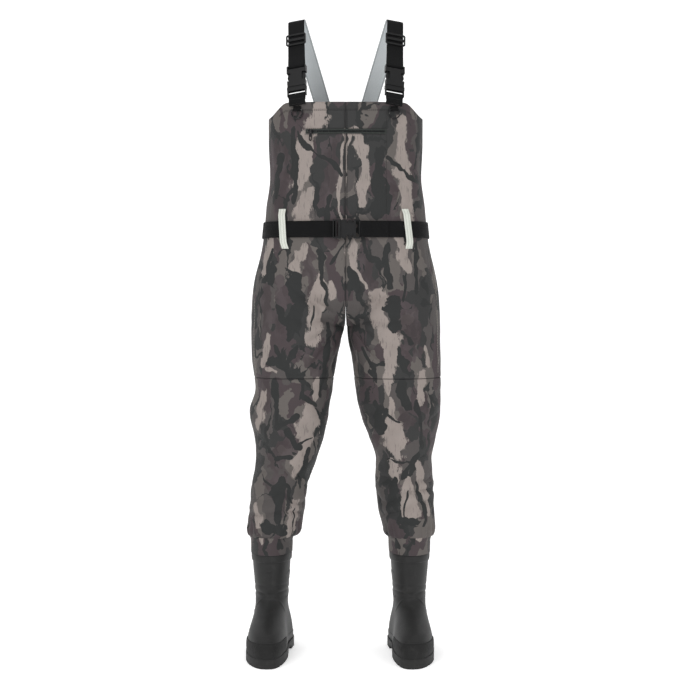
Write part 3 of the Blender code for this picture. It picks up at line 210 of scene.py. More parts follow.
def between(stations, height):
    """Values at each height by a smooth curve through the stations that never overshoots them:
    Hermite pieces whose slope at a station is the harmonic mean of its neighbours' slopes."""
    table = np.asarray(sorted(stations), dtype=float)
    knots, values = table[:, 0], table[:, 1:]
    height = np.clip(np.asarray(height, dtype=float), knots[0], knots[-1])
    steps = np.diff(knots)
    slopes = np.diff(values, axis=0) / steps[:, None]
    sums = slopes[:-1] + slopes[1:]
    tangents = np.zeros_like(values)
    same_way = slopes[:-1] * slopes[1:] > 0
    tangents[1:-1] = np.where(same_way, 2 * slopes[:-1] * slopes[1:] / np.where(same_way, sums, 1.0), 0.0)
    tangents[0], tangents[-1] = slopes[0], slopes[-1]
    cell = np.clip(np.searchsorted(knots, height) - 1, 0, len(steps) - 1)
    share = ((height - knots[cell]) / steps[cell])[..., None]
    width = steps[cell][..., None]
    return (
        (1 + 2 * share) * (1 - share) ** 2 * values[cell]
        + share * (1 - share) ** 2 * width * tangents[cell]
        + share**2 * (3 - 2 * share) * values[cell + 1]
        + share**2 * (share - 1) * width * tangents[cell + 1]
    )


def ease(value):
    """0 below 0, 1 above 1, and a smooth S between."""
    share = np.clip(value, 0.0, 1.0)
    return share * share * (3 - 2 * share)


def superellipse(angle, half_width, half_depth, roundness):
    """Across and forward distances: the powers 2/n of cosine and sine give a rounded rectangle."""
    cosine, sine = np.cos(angle), np.sin(angle)
    across = np.sign(cosine) * np.abs(cosine) ** (2 / roundness) * half_width
    forward = np.sign(sine) * np.abs(sine) ** (2 / roundness) * half_depth
    return across, forward


def body_section(side, face, angle, height, offset):
    """Bib and hips: angle 0 is the side seam, 90 degrees the centre seam; face 1 is front and -1 back."""
    half_width, half_depth, centre = np.moveaxis(between(BODY_GIRTHS, height), -1, 0)
    across, forward = superellipse(angle, half_width + offset, half_depth + offset, BODY_ROUNDNESS)
    return np.stack([SIDES[side] * across, centre - face * forward, height], axis=-1)


def leg_section(side, face, angle, height, offset):
    """A leg: angle 0 is the outer seam, 180 degrees the inseam."""
    middle, half_width, half_depth, centre = np.moveaxis(between(LEG_GIRTHS[side], height), -1, 0)
    across, forward = superellipse(angle, half_width + offset, half_depth + offset, 2.0)
    return np.stack([middle + SIDES[side] * across, centre - face * forward, height], axis=-1)


def smooth_cloth(side, face, share, height, offset=0.0):
    """The cloth without folds. share 0 is the centre seam or inseam, 1 the side seam."""
    share, height = np.broadcast_arrays(np.asarray(share, float), np.asarray(height, float))
    body = body_section(side, face, (1 - share) * math.pi / 2, height, offset)
    leg = leg_section(side, face, (1 - share) * math.pi, height, offset)
    fall = np.clip((CROTCH_Z + RISE - height) / RISE, 0.0, 1.0)
    at_crotch = 1 - np.sqrt(1 - fall**2)
    at_hip = ease((CROTCH_Z + HIP - height) / HIP)
    outward = ease(share / 0.45)
    divided = (at_crotch * (1 - outward) + at_hip * outward)[..., None]
    return body * (1 - divided) + leg * divided + ORIGIN


check = smooth_cloth("left", 1, np.array([0.5]), np.array([1.1]))
print("a point on the bib", check.round(3).tolist())

# %% [markdown]
# ## Folds
# Cloth can't shrink, so where a body bends or a belt squeezes, it buckles into folds. Each kind of fold is a
# wave with round ridges and narrower valleys, placed where the strain is: pleats above and below the belt, drag
# lines that fan out of the crotch, slanting folds behind the knee, rings of slack over the shin, and short
# gathers where the leg is drawn in over the boot. Smooth noise in space bends them, so that none is regular.
# A simulation would need the wearer inside; written folds stay where the real ones lie and are quick.

# %% Noise in space
def lattice_noise(points, size, seed):
    """Smooth noise from -1 to 1: random values on a cubic lattice, eased between its eight corners."""
    count = 24
    table = np.random.default_rng(seed).uniform(-1.0, 1.0, (count, count, count))
    scaled = np.asarray(points) / np.asarray(size)
    low = np.floor(scaled).astype(int)
    part = ease(scaled - low)
    total = 0.0
    for corner in range(8):
        step = np.array([corner & 1, corner >> 1 & 1, corner >> 2 & 1])
        at = (low + step) % count
        weight = np.prod(np.where(step, part, 1 - part), axis=-1)
        total = total + weight * table[at[..., 0], at[..., 1], at[..., 2]]
    return total


def crumple(points, size, seed, octaves=3):
    """Several layers of noise, each half the size and half the height of the one before."""
    layers = [lattice_noise(points, np.asarray(size) / 2**k, seed + k) / 2**k for k in range(octaves)]
    return sum(layers)


def pleat(phase):
    """A fold's outline: round on top, sharp in the valley. The size of a sine, made fuller; 0 to 1."""
    return np.abs(np.sin(math.pi * phase)) ** 0.8


def near(value, centre, reach):
    """A smooth bump of height 1 at the centre that fades out over the reach."""
    return np.exp(-(((value - centre) / reach) ** 2))


# %% Where the cloth folds
KNEE_PINCH = {"right": 0.485, "left": 0.495}


def chest_folds(face, share, points):
    """Long soft upright waves, and pleats that the belt gathers above and below itself."""
    height = points[..., 2]
    bend = lattice_noise(points, (0.09, 0.09, 0.16), 5)
    soft = pleat(share * 2.3 + 0.25 * bend + 0.1 * face) - 0.6
    squeezed = near(height, BELT_Z + 0.052, 0.030) + near(height, BELT_Z - 0.055, 0.036)
    gathers = (pleat(share * 7.5 + 0.7 * bend + 0.3 * face) - 0.5) * (0.55 + 0.45 * bend)
    above_hip = ease((height - 0.80) / 0.08)
    return above_hip * (0.0022 * soft * ease((1.19 - height) / 0.06) + 0.0017 * gathers * squeezed)


def crotch_folds(side, face, points):
    """Drag lines: a wave in the angle round the crotch, strongest a hand's width away from it."""
    across = (points[..., 0] - MIDDLE_X) * SIDES[side]
    down = CROTCH_Z + 0.010 - points[..., 2]
    far = np.hypot(across, down)
    turn = np.arctan2(down, np.maximum(across, 1e-4))
    bend = lattice_noise(points, (0.08, 0.08, 0.08), 11)
    reach = ease((far - 0.015) / 0.045) * ease((0.185 - far) / 0.10)
    return 0.0066 * (pleat(turn * 2.05 + 0.35 * bend + 0.15 * face) - 0.55) * reach


def knee_folds(side, face, share, points):
    """Slanting folds between the inner pinch and the outer bulge of the knee, deeper at the back."""
    height = points[..., 2]
    bend = lattice_noise(points, (0.07, 0.07, 0.06), 21)
    slant = (height - KNEE_PINCH[side]) / 0.052 + (1 - share) * 1.1 + 0.45 * bend
    zone = near(height, KNEE_PINCH[side] + 0.045, 0.075) * (0.45 + 0.75 * (1 - share))
    depth = 0.0062 if face < 0 else 0.0050
    return depth * (pleat(slant) - 0.55) * zone


def shin_folds(face, share, points):
    """Slack rings over the shin that slide down towards the hem."""
    height = points[..., 2]
    bend = lattice_noise(points, (0.06, 0.06, 0.05), 33)
    rings = (height - HEM_Z) / 0.044 + 0.75 * bend + 0.35 * np.cos(math.pi * share + face)
    zone = ease((0.47 - height) / 0.08) * ease((height - 0.285) / 0.03)
    return 0.0062 * (pleat(rings) - 0.55) * zone


def hem_gathers(share, points):
    """Short upright gathers where the leg is sewn to the narrower cuff."""
    height = points[..., 2]
    bend = lattice_noise(points, (0.03, 0.03, 0.05), 41)
    zone = near(height, HEM_Z + 0.006, 0.022)
    return 0.0040 * (pleat(share * 8.0 + 0.6 * bend) - 0.5) * zone


def fold_depth(side, face, share, points):
    """All folds at each point, calmed to nothing under the belt, the zip and the straps' hardware."""
    share = np.broadcast_to(share, points.shape[:-1])
    height = points[..., 2]
    on_leg = ease((CROTCH_Z + 0.06 - height) / 0.08)
    total = chest_folds(face, share, points)
    total = total + crotch_folds(side, face, points) * ease((0.90 - height) / 0.08)
    total = total + on_leg * knee_folds(side, face, share, points)
    total = total + shin_folds(face, share, points) + hem_gathers(share, points)
    rumple = 0.0011 * crumple(points, (0.050, 0.050, 0.070), 51) * (0.6 + 0.9 * on_leg)
    calm = 1 - 0.93 * near(height, BELT_Z, 0.026)
    calm = calm * (1 - 0.8 * ease((height - 1.15) / 0.04))
    if face > 0:
        across = np.abs(points[..., 0] - MIDDLE_X)
        calm = calm * (1 - 0.85 * near(height, ZIP_Z, 0.016) * ease((0.115 - across) / 0.02))
    away_from_seam = ease(np.minimum(share, 1 - share) / 0.10)
    return (total * away_from_seam + rumple) * calm


def cloth(side, face, share, height, offset=0.0):
    """The folded cloth's outer face, moved along its own outward direction, which comes back too. Folds fade
    out at a seam and only the noise in space is left there, so two panels always meet."""
    share, height = np.broadcast_arrays(np.asarray(share, float), np.asarray(height, float))
    base = smooth_cloth(side, face, share, height)
    nudge = 1e-3
    along = smooth_cloth(side, face, np.clip(share + nudge, 0, 1), height) - smooth_cloth(
        side, face, np.clip(share - nudge, 0, 1), height)
    upward = smooth_cloth(side, face, share, height + nudge) - smooth_cloth(side, face, share, height - nudge)
    outward = np.cross(along, upward) * SIDES[side] * face
    outward /= np.maximum(np.linalg.norm(outward, axis=-1, keepdims=True), 1e-12)
    depth = fold_depth(side, face, share, base) + offset
    return base + outward * depth[..., None], outward


def top_edge(side, face, share):
    """How far the bib's edge lies below its highest line: it falls towards the side seams."""
    across = np.abs(smooth_cloth(side, face, share, TOP_Z)[..., 0] - MIDDLE_X)
    outer = BODY_GIRTHS[0][1]
    shoulder = STRAP_X + 0.023
    drop = ease((across - shoulder) / (outer - shoulder)) * CORNER_DROP
    return drop if face > 0 else BACK_DROP + drop * (1 - BACK_DROP / CORNER_DROP)


sample = fold_depth("left", 1, np.linspace(0, 1, 50), smooth_cloth("left", 1, np.linspace(0, 1, 50), 0.50))
print("folds at the knee, mm:", (sample.min() * 1000).round(2), "to", (sample.max() * 1000).round(2))

# %% [markdown]
# ## The camouflage print
# The print is made of long strokes, as if bark and branches had been painted with a flat brush: pale blades,
# charcoal branches, and brown and grey fields between them. Each stroke is a line with a width. For every point
# of the cloth, the print's height is one minus the distance to the nearest stroke, in stroke widths: above
# zero the point is inside. The shader adds fine noise to that height before it cuts at zero, so the edges are
# torn like bark at any distance, though the mesh holds only a smooth field. The front's strokes are listed,
# the back's and sides' are drawn from a seeded random generator with the same sizes.

# %% Strokes on the front, in metres: across and height of both ends, half width
PALE_FRONT = [
    (-0.062, 1.193, -0.105, 1.065, 0.024), (-0.075, 1.047, -0.102, 0.969, 0.016),
    (-0.053, 1.235, -0.062, 1.184, 0.012), (-0.005, 1.169, -0.005, 0.985, 0.005),
    (0.009, 1.173, 0.031, 1.090, 0.013), (0.031, 1.090, 0.036, 1.013, 0.011),
    (0.118, 1.206, 0.138, 0.947, 0.017), (0.013, 0.940, 0.018, 0.890, 0.011),
    (0.022, 0.885, 0.045, 0.840, 0.004), (0.064, 0.825, 0.084, 0.747, 0.021),
    (0.086, 0.747, 0.109, 0.672, 0.023), (0.106, 0.660, 0.096, 0.602, 0.010),
    (0.116, 0.940, 0.140, 0.878, 0.011), (0.180, 0.700, 0.193, 0.652, 0.007),
    (0.170, 0.640, 0.180, 0.570, 0.010), (0.098, 0.536, 0.113, 0.442, 0.020),
    (0.098, 0.596, 0.104, 0.548, 0.007), (0.095, 0.428, 0.112, 0.390, 0.012),
    (0.138, 0.376, 0.153, 0.303, 0.015), (0.162, 0.425, 0.186, 0.365, 0.012),
    (0.188, 0.360, 0.184, 0.305, 0.009), (-0.057, 0.842, -0.072, 0.728, 0.021),
    (-0.042, 0.800, -0.052, 0.750, 0.012), (-0.028, 0.842, -0.020, 0.805, 0.009),
    (-0.168, 0.940, -0.188, 0.869, 0.019), (-0.095, 0.940, -0.118, 0.873, 0.010),
    (-0.186, 0.720, -0.196, 0.663, 0.009), (-0.186, 0.652, -0.160, 0.648, 0.006),
    (-0.060, 0.622, -0.060, 0.585, 0.012), (-0.075, 0.551, -0.085, 0.470, 0.021),
    (-0.095, 0.458, -0.113, 0.410, 0.011), (-0.200, 0.591, -0.209, 0.536, 0.013),
    (-0.104, 0.350, -0.120, 0.275, 0.017), (-0.210, 0.335, -0.200, 0.300, 0.007),
]
DARK_FRONT = [
    (-0.095, 1.180, -0.058, 1.135, 0.007), (-0.058, 1.135, -0.003, 1.080, 0.006),
    (-0.115, 1.180, -0.113, 1.020, 0.010), (0.067, 1.113, 0.071, 0.991, 0.019),
    (0.087, 1.113, 0.120, 1.095, 0.005), (0.127, 1.095, 0.160, 1.073, 0.005),
    (-0.118, 0.873, -0.109, 0.790, 0.013), (-0.109, 0.790, -0.120, 0.725, 0.012),
    (-0.157, 0.790, -0.129, 0.753, 0.008), (-0.160, 0.920, -0.187, 0.847, 0.007),
    (-0.162, 0.700, -0.129, 0.642, 0.011), (-0.100, 0.710, -0.135, 0.668, 0.005),
    (-0.062, 0.924, -0.053, 0.851, 0.011), (-0.053, 0.851, -0.027, 0.785, 0.004),
    (-0.035, 0.887, -0.002, 0.924, 0.004), (-0.027, 0.747, -0.044, 0.591, 0.008),
    (0.093, 0.911, 0.093, 0.838, 0.010), (0.109, 0.798, 0.113, 0.736, 0.016),
    (0.160, 0.913, 0.158, 0.825, 0.008), (0.182, 0.851, 0.195, 0.829, 0.008),
    (0.009, 0.887, 0.031, 0.791, 0.010), (0.125, 0.870, 0.131, 0.800, 0.003),
    (0.024, 0.698, 0.067, 0.625, 0.007), (0.131, 0.720, 0.153, 0.690, 0.005),
    (0.062, 0.580, 0.082, 0.518, 0.014), (0.089, 0.558, 0.115, 0.529, 0.003),
    (0.129, 0.629, 0.147, 0.570, 0.013), (0.167, 0.580, 0.171, 0.469, 0.006),
    (0.165, 0.452, 0.127, 0.392, 0.008), (0.085, 0.430, 0.138, 0.419, 0.003),
    (0.107, 0.385, 0.115, 0.325, 0.011), (0.125, 0.305, 0.160, 0.288, 0.010),
    (0.167, 0.383, 0.175, 0.277, 0.007), (-0.164, 0.630, -0.153, 0.525, 0.009),
    (-0.157, 0.520, -0.100, 0.536, 0.007), (-0.100, 0.620, -0.100, 0.560, 0.003),
    (-0.093, 0.576, -0.058, 0.569, 0.008), (-0.122, 0.509, -0.104, 0.465, 0.008),
    (-0.100, 0.478, -0.072, 0.482, 0.003), (-0.144, 0.442, -0.116, 0.442, 0.006),
    (-0.151, 0.385, -0.157, 0.314, 0.011), (-0.189, 0.418, -0.164, 0.380, 0.003),
    (-0.184, 0.300, -0.135, 0.292, 0.013), (-0.082, 0.458, -0.098, 0.391, 0.009),
    (-0.108, 0.340, -0.108, 0.275, 0.003), (0.138, 0.365, 0.142, 0.312, 0.002),
    (-0.080, 0.740, -0.070, 0.780, 0.003), (-0.140, 0.380, -0.120, 0.350, 0.006),
    (-0.150, 1.130, -0.165, 1.040, 0.006), (-0.020, 1.040, -0.045, 0.985, 0.006),
    (0.020, 0.960, 0.060, 0.905, 0.005),
]
BROWN_FRONT = [
    (-0.150, 1.150, -0.148, 1.010, 0.024), (-0.030, 1.150, -0.030, 1.010, 0.020),
    (0.090, 1.060, 0.095, 0.990, 0.018), (-0.085, 0.930, -0.078, 0.820, 0.018),
    (-0.090, 0.690, -0.060, 0.650, 0.030), (-0.145, 0.840, -0.150, 0.740, 0.018),
    (-0.190, 0.830, -0.195, 0.720, 0.020), (0.045, 0.930, 0.050, 0.830, 0.018),
    (0.140, 0.790, 0.150, 0.690, 0.028), (0.130, 0.560, 0.132, 0.520, 0.022),
    (-0.130, 0.480, -0.150, 0.430, 0.026), (-0.160, 0.390, -0.150, 0.330, 0.020),
    (0.120, 0.440, 0.100, 0.360, 0.014), (0.185, 0.590, 0.190, 0.520, 0.012),
    (-0.190, 0.620, -0.180, 0.560, 0.016),
]


def scattered_strokes(seed, count, length, width):
    """Strokes for the back: mostly upright, leaning a little, evenly spread over the height of the cloth."""
    rng = np.random.default_rng(seed)
    height = 0.24 + 1.02 * (np.arange(count) + rng.random(count)) / count
    across = rng.permutation(np.linspace(-0.27, 0.27, count))
    long = rng.uniform(*length, count)
    lean = rng.normal(0.0, 0.45, count)
    dx, dz = np.sin(lean) * long / 2, np.cos(lean) * long / 2
    return np.stack([across - dx, height + dz, across + dx, height - dz, rng.uniform(*width, count)], axis=1)


def wander(across, height):
    """Print coordinates pushed about by two sizes of noise, and a factor by which strokes swell and shrink."""
    place = np.stack([across, 0 * across, height * 0.7], axis=-1)
    coarse, fine = lattice_noise(place, 0.045, 301), lattice_noise(place, 0.014, 302)
    lift = lattice_noise(place, 0.050, 303)
    swell = 1.0 + 0.45 * lattice_noise(place, 0.020, 304) + 0.30 * lattice_noise(place, 0.009, 305)
    swell = np.clip(swell, 0.25, 2.0)
    return across + 0.011 * coarse + 0.0045 * fine, height + 0.018 * lift + 0.004 * fine, swell


def print_height(across, height, strokes):
    """One minus the distance to the nearest stroke in its half widths, and never less than minus one."""
    best = np.full(across.shape, -1.0)
    across, height, swell = wander(across, height)
    for x0, z0, x1, z1, width in np.asarray(strokes):
        dx, dz = x1 - x0, z1 - z0
        part = np.clip(((across - x0) * dx + (height - z0) * dz) / (dx * dx + dz * dz), 0.0, 1.0)
        taper = width * (0.55 + 0.45 * np.sin(math.pi * (0.15 + 0.7 * part)))
        apart = np.hypot(across - x0 - part * dx, height - z0 - part * dz)
        best = np.maximum(best, 1 - apart / (taper * swell))
    return best


PRINT = {
    1: {"pale": PALE_FRONT, "dark": DARK_FRONT, "brown": BROWN_FRONT},
    -1: {
        "pale": scattered_strokes(3, 46, (0.04, 0.12), (0.006, 0.022)),
        "dark": scattered_strokes(8, 74, (0.03, 0.12), (0.004, 0.013)),
        "brown": scattered_strokes(13, 30, (0.06, 0.14), (0.014, 0.030)),
    },
}
print("strokes on the front:", {kind: len(strokes) for kind, strokes in PRINT[1].items()})

# %% [markdown]
# ## Materials of the cloth
# A small kit keeps node trees short. The cloth's colour is a stack: a ground of random cells in four dyes, plum
# fields, charcoal branches along the borders of larger cells, then pale blades with grey streaks along them and
# the dark strokes. Roughness is high, and the bump is a fine weave on the cloth's own coordinates, in metres.

# %% Node kit
class Nodes:
    """A short way to write a material's node tree."""

    def __init__(self, name):
        self.material = bpy.data.materials.new(name)
        self.material.use_nodes = True
        self.tree = self.material.node_tree
        self.shader = self.tree.nodes["Principled BSDF"]

    def feed(self, socket, value):
        """Link a node's output to a socket, or set its number."""
        if isinstance(value, bpy.types.NodeSocket):
            self.tree.links.new(value, socket)
        elif isinstance(value, tuple) and len(value) == 3 and socket.type == "RGBA":
            socket.default_value = (*value, 1.0)
        else:
            socket.default_value = value

    def add(self, kind, output=0, settings=None, **inputs):
        """A new node: settings are its own, inputs are by socket name, and an output socket comes back."""
        node = self.tree.nodes.new(kind)
        for key, value in (settings or {}).items():
            setattr(node, key, value)
        for key, value in inputs.items():
            self.feed(node.inputs[key.replace("_", " ")], value)
        return node.outputs[output]

    def math(self, operation, first, second=0.0, third=0.0, clamp=False):
        node = self.tree.nodes.new("ShaderNodeMath")
        node.operation = operation
        node.use_clamp = clamp
        for socket, value in zip(node.inputs, (first, second, third)):
            self.feed(socket, value)
        return node.outputs[0]

    def mix(self, share, first, second):
        node = self.tree.nodes.new("ShaderNodeMix")
        node.data_type = "RGBA"
        for socket, value in ((node.inputs[0], share), (node.inputs[6], first), (node.inputs[7], second)):
            self.feed(socket, value)
        return node.outputs[2]

    def attribute(self, name):
        return self.add("ShaderNodeAttribute", "Fac", {"attribute_name": name})

    def uv(self, name="cloth_uv"):
        return self.add("ShaderNodeUVMap", 0, {"uv_map": name})

    def place(self):
        return self.add("ShaderNodeTexCoord", "Object")

    def stretched(self, vector, scale):
        return self.add("ShaderNodeMapping", 0, Vector=vector, Scale=scale)

    def noise(self, vector, scale, detail=3.0, roughness=0.55, distortion=0.0):
        return self.add("ShaderNodeTexNoise", 0, Vector=vector, Scale=scale, Detail=detail,
                        Roughness=roughness, Distortion=distortion)

    def step(self, value, low, high):
        """0 under low, 1 over high, smooth between."""
        return self.add("ShaderNodeMapRange", 0, {"interpolation_type": "SMOOTHSTEP"}, Value=value,
                        **{"From Min": low, "From Max": high})

    def bump(self, height, distance, strength=1.0):
        self.feed(self.shader.inputs["Normal"],
                  self.add("ShaderNodeBump", 0, Height=height, Distance=distance, Strength=strength))

    def finish(self, colour, roughness, metallic=0.0, sheen=0.0, gloss=0.2):
        self.feed(self.shader.inputs["Base Color"], colour)
        self.feed(self.shader.inputs["Roughness"], roughness)
        self.shader.inputs["Metallic"].default_value = metallic
        self.shader.inputs["Sheen Weight"].default_value = sheen
        self.shader.inputs["Specular IOR Level"].default_value = gloss
        return self.material


def shade(red, green, blue):
    """A dye's colour, from how it looks on screen (0 to 255), as the light it reflects."""
    values = np.array([red, green, blue]) / 255
    return tuple(float(v) for v in np.where(values > 0.04045, ((values + 0.055) / 1.055) ** 2.4, values / 12.92))


# %% Camouflage cloth
def weave(kit, coordinates, pitch):
    """Plain weave: the product of two sine waves, one for each thread direction."""
    parts = kit.add("ShaderNodeSeparateXYZ", 0, Vector=coordinates).node
    waves = [kit.math("SINE", kit.math("MULTIPLY", parts.outputs[k], 2 * math.pi / pitch)) for k in (0, 1)]
    return kit.math("MULTIPLY", *waves)


def camo_cloth():
    """Printed laminate, from the ground up: cell patches, plum fields, branches, pale blades, dark strokes."""
    kit = Nodes("camo_cloth")
    uv = kit.uv()
    long_way = kit.stretched(uv, (2.2, 1.0, 1.0))
    torn = kit.math("SUBTRACT", kit.noise(long_way, 70.0, 4.0, 0.62), 0.5)
    frayed = kit.math("SUBTRACT", kit.noise(kit.stretched(uv, (4.5, 1.0, 1.0)), 160.0, 3.0, 0.6), 0.5)
    lumpy = kit.math("SUBTRACT", kit.noise(uv, 38.0, 2.0, 0.5), 0.5)
    pale = kit.math("ADD", kit.attribute("pale"), kit.math("MULTIPLY", torn, 1.15))
    pale = kit.math("ADD", pale, kit.math("MULTIPLY", frayed, 0.75))
    dark = kit.math("ADD", kit.attribute("dark"), kit.math("MULTIPLY", torn, 0.9))
    dark = kit.math("ADD", dark, kit.math("MULTIPLY", lumpy, 1.3))
    brown = kit.math("ADD", kit.attribute("brown"), kit.math("MULTIPLY", lumpy, 2.6))
    cloud = kit.noise(kit.stretched(uv, (1.6, 1.0, 1.0)), 16.0, 3.0, 0.6)
    shifts = kit.add("ShaderNodeTexNoise", "Color", Vector=uv, Scale=24.0, Detail=3.0)
    warped = kit.add("ShaderNodeVectorMath", 0, {"operation": "MULTIPLY_ADD"}).node
    kit.feed(warped.inputs[0], shifts)
    warped.inputs[1].default_value = (0.055, 0.055, 0.0)
    kit.feed(warped.inputs[2], kit.stretched(uv, (1.0, 0.55, 1.0)))
    patches = kit.add("ShaderNodeTexVoronoi", "Color", {"feature": "F1"}, Vector=warped.outputs[0], Scale=30.0)
    lottery = kit.add("ShaderNodeSeparateColor", 0, Color=patches)
    ground = kit.mix(kit.step(lottery, 0.24, 0.26), shade(50, 50, 50), shade(66, 58, 60))
    ground = kit.mix(kit.step(lottery, 0.50, 0.52), ground, shade(75, 71, 70))
    ground = kit.mix(kit.step(lottery, 0.76, 0.78), ground, shade(92, 87, 84))
    plum = kit.mix(kit.step(cloud, 0.40, 0.62), shade(60, 52, 54), shade(74, 66, 68))
    colour = kit.mix(kit.math("MULTIPLY", kit.step(brown, 0.05, 0.20), 0.8), ground, plum)
    to_edge = {"feature": "DISTANCE_TO_EDGE"}
    edges = kit.add("ShaderNodeTexVoronoi", "Distance", to_edge, Vector=warped.outputs[0], Scale=15.0)
    branch_width = kit.math("MULTIPLY_ADD", kit.step(kit.noise(uv, 13.0, 2.0), 0.40, 0.66), 0.085, -0.004)
    branches = kit.step(kit.math("SUBTRACT", branch_width, edges), -0.002, 0.006)
    streaks = kit.step(kit.noise(kit.stretched(uv, (7.0, 1.0, 1.0)), 34.0, 3.0, 0.6), 0.58, 0.64)
    light = kit.mix(cloud, shade(128, 120, 115), shade(150, 140, 135))
    light = kit.mix(kit.math("MULTIPLY", streaks, 0.62), light, shade(98, 92, 89))
    rim = kit.step(kit.math("MULTIPLY", kit.noise(long_way, 90.0, 2.0), kit.step(pale, -0.55, 0.0)), 0.46, 0.52)
    colour = kit.mix(kit.math("MULTIPLY", rim, 0.7), colour, shade(108, 102, 98))
    colour = kit.mix(branches, colour, shade(42, 43, 43))
    colour = kit.mix(kit.step(pale, 0.02, 0.08), colour, light)
    colour = kit.mix(kit.step(dark, 0.00, 0.08), colour, shade(41, 42, 42))
    # Painted shade: where the seam value is high, in the seam grooves, at the cuff's lower edge and along the facing's
    # stitch line, the cloth is darkened towards near black.
    seam = kit.attribute("seam")
    seam_shade = kit.math("MULTIPLY", kit.step(seam, 0.55, 0.95), 0.40)
    colour = kit.mix(seam_shade, colour, shade(40, 40, 41))
    speckle = kit.noise(uv, 1400.0, 2.0)
    colour = kit.mix(kit.math("MULTIPLY", kit.step(speckle, 0.35, 0.75), 0.12), colour, shade(30, 30, 30))
    rough = kit.math("MULTIPLY_ADD", speckle, 0.12, 0.66)
    threads = kit.math("MULTIPLY", weave(kit, uv, 0.0011), 0.35)
    fine = kit.math("MULTIPLY_ADD", kit.noise(uv, 420.0, 2.0), 0.8, threads)
    kit.bump(fine, 0.00028, 0.55)
    return kit.finish(colour, rough, sheen=0.02, gloss=0.22)


def lining():
    """The laminate's inner face: a charcoal knit with fine ribs."""
    kit = Nodes("knit_lining")
    uv = kit.uv()
    ribs = weave(kit, kit.stretched(uv, (1.0, 0.5, 1.0)), 0.0016)
    blotch = kit.noise(uv, 30.0, 3.0)
    colour = kit.mix(blotch, shade(34, 35, 37), shade(46, 47, 49))
    colour = kit.mix(kit.math("MULTIPLY_ADD", ribs, 0.15, 0.15), colour, shade(62, 63, 66))
    kit.bump(ribs, 0.0003, 0.5)
    return kit.finish(colour, 0.88, sheen=0.05)


CAMO = camo_cloth()
LINING = lining()
print("materials", CAMO.name, LINING.name)

# %% [markdown]
# ## Cloth panels
# A panel is a sheet of about two millimetres with two faces, cut between seams. Its grid is finer next to the
# seams, where the edge dips into the seam's groove. The print's coordinates are lengths along the cloth, across
# from the middle of each leg and up, so the weave keeps its size and the strokes stay where they are placed.

# %% A sheet with two faces
def paint(mesh, name, values):
    """Store one number for each vertex, for the material to read."""
    attribute = mesh.attributes.new(name, "FLOAT", "POINT")
    attribute.data.foreach_set("value", np.ascontiguousarray(values, dtype=np.float32).ravel())


def lay_uv(mesh, name, coordinates):
    """Give each corner of a face its vertex's flat coordinates, in metres."""
    corners = np.empty(len(mesh.loops), dtype=np.int64)
    mesh.loops.foreach_get("vertex_index", corners)
    layer = mesh.uv_layers.new(name=name)
    layer.data.foreach_set("uv", np.asarray(coordinates, np.float32).reshape(-1, 2)[corners].ravel())


def sheet_mesh(name, outer, outward, thickness, wrap=False):
    """Outer grid, inner grid one thickness behind it, and rims between them. Inner faces get material 1."""
    rows, columns = outer.shape[:2]
    inner = outer - outward * thickness
    front = grid_faces(rows, columns, wrap)
    count = rows * columns
    index = np.arange(count).reshape(rows, columns)
    edges = [index[0], index[-1][::-1]]
    if wrap:
        edges = [np.append(index[0], index[0, 0]), np.append(index[-1], index[-1, 0])[::-1]]
    else:
        edges += [index[::-1, 0], index[:, -1]]
    rims = [np.stack([e[1:], e[:-1], e[:-1] + count, e[1:] + count], axis=-1) for e in edges]
    faces = np.concatenate([front, front[:, ::-1] + count, *rims])
    corner = outer.reshape(-1, 3)[front[len(front) // 2]]
    normal = np.cross(corner[1] - corner[0], corner[3] - corner[0])
    if normal @ outward.reshape(-1, 3)[front[len(front) // 2][0]] < 0:
        faces = faces[:, ::-1]
    mesh = make_mesh(name, np.concatenate([outer.reshape(-1, 3), inner.reshape(-1, 3)]), faces)
    which = np.zeros(len(faces), dtype=np.int32)
    which[len(front):2 * len(front)] = 1
    mesh.polygons.foreach_set("material_index", which)
    return mesh


def doubled(values):
    """The outer grid's values, repeated for the inner grid."""
    values = np.asarray(values)
    return np.concatenate([values.reshape(-1, *values.shape[2:])] * 2)


def cloth_run(points):
    """Lengths along each row, and the across coordinate: zero lies on the body's middle plane."""
    steps = np.linalg.norm(np.diff(points, axis=1), axis=-1)
    run = np.concatenate([np.zeros((len(points), 1)), np.cumsum(steps, axis=1)], axis=1)
    middle = points.shape[1] // 2
    sign = np.sign(points[:, -1, 0] - points[:, 0, 0])[:, None]
    across = points[:, middle, 0][:, None] - MIDDLE_X + sign * (run - run[:, middle][:, None])
    return run, across


def print_on(mesh, face, points, height, seam):
    """Lay the flat coordinates and the three kinds of stroke on a sheet of camouflage cloth."""
    across = cloth_run(points)[1]
    cut_from = 0.0 if face > 0 else 2.3
    lay_uv(mesh, "cloth_uv", doubled(np.stack([across + cut_from, height + cut_from], axis=-1)))
    for kind, strokes in PRINT[face].items():
        paint(mesh, kind, doubled(print_height(across, height, strokes)))
    # The seam value also marks where the cloth's material paints shade into the seam grooves.
    paint(mesh, "seam", doubled(seam))


def seam_groove(run, height, top, bottom):
    """How close each point is to the panel's edge: 1 on the seam, 0 from 5 mm away."""
    beside = np.minimum(run, run[:, -1:] - run)
    ends = np.minimum(top - height, height - bottom)
    return np.clip(1 - np.minimum(beside, ends) / 0.005, 0.0, 1.0)


def panel_shares(columns):
    """Positions across a panel, closer together near its two seams."""
    t = np.linspace(0.0, 1.0, columns)
    return t - 0.38 * np.sin(2 * math.pi * t) / (2 * math.pi)


SEAM_DIP = 0.0011
FINE = 1.0


